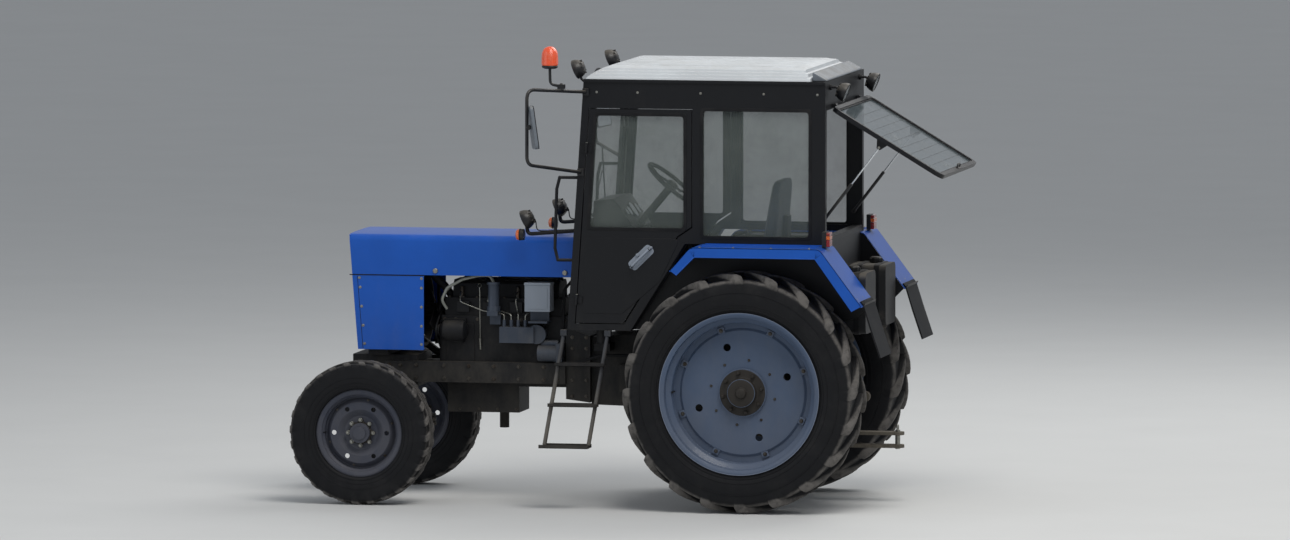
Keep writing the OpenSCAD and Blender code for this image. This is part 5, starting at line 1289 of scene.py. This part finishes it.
def interior():
    wheel = facing((606, 0, 1984), (-sin(radians(40)), 0, cos(radians(40))))
    grips = [13.9 if k % 2 else 12.4 for k in range(64)]
    spokes = [tube(line, 8, 10, bend=40) for line in
              zip(ring_points(wheel, 30, 3, h=-8), ring_points(wheel, 110, 3, h=-20), ring_points(wheel, 182, 3, h=-2))]
    hub = moved(lathe([(0.01, 15), (24, 14), (34, 8), (38, 0), (38, -22), (0.01, -22)], 36), wheel)
    rim = tube(ring_points(wheel, 190, 64), grips, 12, loop=True)
    piece("wheel_rim", [rim] + spokes + [hub], TRIM, replaces=("steering_wheel",))

    rings, faces, needles = [], [], []
    # Place across, radius and the needle's angle of each dial
    for y, r, a in ((0, 52, 130), (120, 34, 60), (-120, 34, 110), (200, 24, 80), (-200, 24, 100)):
        m = facing((866, 0, 1816), (-0.82, 0, 0.57)) @ Matrix.Translation((0, y, 0))
        cup = [(r, 12), (r - 5, 12), (r - 6, 6), (r - 6, 4), (0.01, 4), (0.01, -20), (r, -20)]
        rings.append(moved(lathe(cup, 32), m))
        faces.append(moved(lathe([(0.01, 5.2), (r - 7, 5.2), (r - 7, 3.9), (0.01, 3.9)], 32), m))
        needles.append(moved(box((-1, 1), (-2, r - 12), (5.4, 6.6)), m @ spin(a, "Z")))
    piece("dial_rings", rings, CHROME_TRIM)
    piece("dial_faces", faces, DIAL)
    piece("dial_needles", needles, AMBER_LENS)

    levers, knobs = [], []
    knob = [(0.01, 34), (12, 30), (17, 18), (14, 4), (7, 0), (0.01, 0)]
    for y, z in ((170, 1700), (210, 1690), (250, 1700)):
        levers.append(tube([(-60, y + 90, 1380), (20, y + 92, 1560), (60, y + 96, z)], 6, 10, bend=60))
        knobs.append(turned(knob, (60, y + 96, z - 4), (0.2, 0, 1), 20))
    gear_knob = [(0.01, 36), (14, 34), (22, 20), (18, 6), (8, 0), (0.01, 0)]
    knobs.append(turned(gear_knob, (500, -90, 1702), (-0.1, 0, 1), 24))
    piece("side_levers", levers, DARK_STEEL)
    piece("lever_knobs", knobs, LAMP_BLACK)
    folds = [(14 + 5 * k + (3 if k % 2 else 0), 84 - 13 * k) for k in range(7)]
    boot = turned([(0.01, 90), (14, 88)] + folds + [(0.01, 0)], (556, -90, 1160), (-0.1, 0, 1), 28)
    piece("lever_boot", [boot], RUBBER)
    pedals = []
    for y in (-215, -120, 150):
        m = facing((772, y, 1342), (-0.7, 0, 0.7))
        pedals.append(tube([(860, y, 1230), (800, y, 1300), (772, y, 1340)], 8, 10, bend=30))
        pedals.append(moved(slab(rounded(block(-38, 38, -30, 30), 10), "Z", 0, 9), m))
        pedals += [moved(box((x, x + 4), (-26, 26), (9, 12)), m) for x in range(-34, 32, 13)]
    piece("pedals", pedals, LAMP_BLACK, bevel=1)
    mat = [box((380, 840), (-480, 480), (1150.3, 1156))]
    mat += [box((384, 836), (y - 5, y + 5), (1155.5, 1160)) for y in range(-460, 461, 40)]
    piece("floor_mat", mat, RUBBER, bevel=1.5)
    side = rounded([(-380, 1152), (300, 1152), (300, 1600), (220, 1650), (-380, 1650)], 30)
    piece("side_boxes", both([slab(side, "Y", 300, 500)]), TRIM, bevel=8)
    liner = slab([(-470, 2676), (1020, 2676), (1020, 2640), (900, 2610), (-440, 2610), (-470, 2640)], "Y", -590, 590)
    piece("roof_liner", [liner], TRIM, bevel=10)
    face = moved(slab(rounded(block(-90, 90, -30, 30), 12), "Z", -5, 5), facing((930, 0, 2430), (-1, 0, 0.1)))
    stalk = tube([(934, 0, 2440), (960, 0, 2490), (980, 0, 2560)], 5, 8)
    piece("inner_mirror", [face, stalk], LAMP_BLACK, bevel=2)


def seat():
    base = [box((-20, 250), (-160, 160), (1150.3, 1300)), box((30, 200), (-100, 100), (1300, 1450)),
            box((-100, 330), (-226, 226), (1450, 1478))]
    base += [box((10, 220), (-128, 128), (z, z + 10)) for z in range(1312, 1423, 22)]
    back_plate = slab([(-135, 1450), (-96, 1450), (-92.6, 1600), (-109.3, 1800), (-140, 1800)], "Y", -60, 60)
    piece("seat_base", base + [back_plate], TRIM, bevel=6, replaces=("seat",))

    low, high = Vector((-92, -238, 1479)), Vector((338, 238, 1578))

    def cushion(name, puff, tilt=None):
        """A padded block: crowned faces, sides drawn in between its corners, and two sewn channels."""
        counts = (22, 26, 10)
        power = 7
        work = bmesh.new()
        grid = {}

        def vertex(*key):
            if key not in grid:
                u, v, w = (i / n * 2 - 1 for i, n in zip(key, counts))
                q = sum(abs(t) ** power for t in (u, v, w)) ** (1 / power)
                s = max(abs(u), abs(v), abs(w)) / q
                p = [u * s, v * s, w * s]
                rise = (1 - u * u) * (1 - v * v)
                sewn = sum(0.16 * max(0, 1 - abs(v - c) / 0.07) for c in (-0.42, 0.42))
                if w > 0.6:
                    p[2] += puff * rise - sewn * 0.35 * (1 - u ** 6)
                p[0] *= 1 - 0.02 * (1 - v * v)
                p[1] *= 1 - 0.03 * (1 - u * u)
                place = [(a + b) / 2 + t * (b - a) / 2 for a, b, t in zip(low, high, p)]
                grid[key] = work.verts.new(world(tilt(*place) if tilt else place))
            return grid[key]
        for across in range(3):
            a, b = [t for t in range(3) if t != across]
            for end in (0, counts[across]):
                for i in range(counts[a]):
                    for j in range(counts[b]):
                        corners = []
                        for di, dj in ((0, 0), (1, 0), (1, 1), (0, 1)):
                            key = [0, 0, 0]
                            key[across], key[a], key[b] = end, i + di, j + dj
                            corners.append(vertex(*key))
                        work.faces.new(corners)
        mesh = bpy.data.meshes.new(name)
        mended(work, mesh)
        made = put(name, mesh)
        mesh.materials.append(SEAT_CLOTH)
        for polygon in mesh.polygons:
            polygon.use_smooth = True
        smooth = made.modifiers.new("smooth", "SUBSURF")
        smooth.levels = smooth.render_levels = 1
        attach(made, "chassis")
    cushion("seat_cushion", 0.22)

    def lean(x, y, z):
        """Lays the block's height along the seat back: x runs up the back, z towards the front."""
        t = (x - low.x) / (high.x - low.x)
        front = low.x + 1 + 98 * (1 - t * 0.42) * (z - low.z) / (high.z - low.z) - t * 36
        return front, y * (0.95 - 0.06 * t), 1592 + t * 436
    cushion("seat_back", 0.20, lean)


rear_tyres()
front_tyres()
rims()
hood()
nose()
signal_lamps()
work_lamps()
beacon()
mirrors()
fenders()
roof()
seals()
rear_window_trim()
ladder()
engine_bay()
drive_line()
interior()
seat()
dress()
studio()
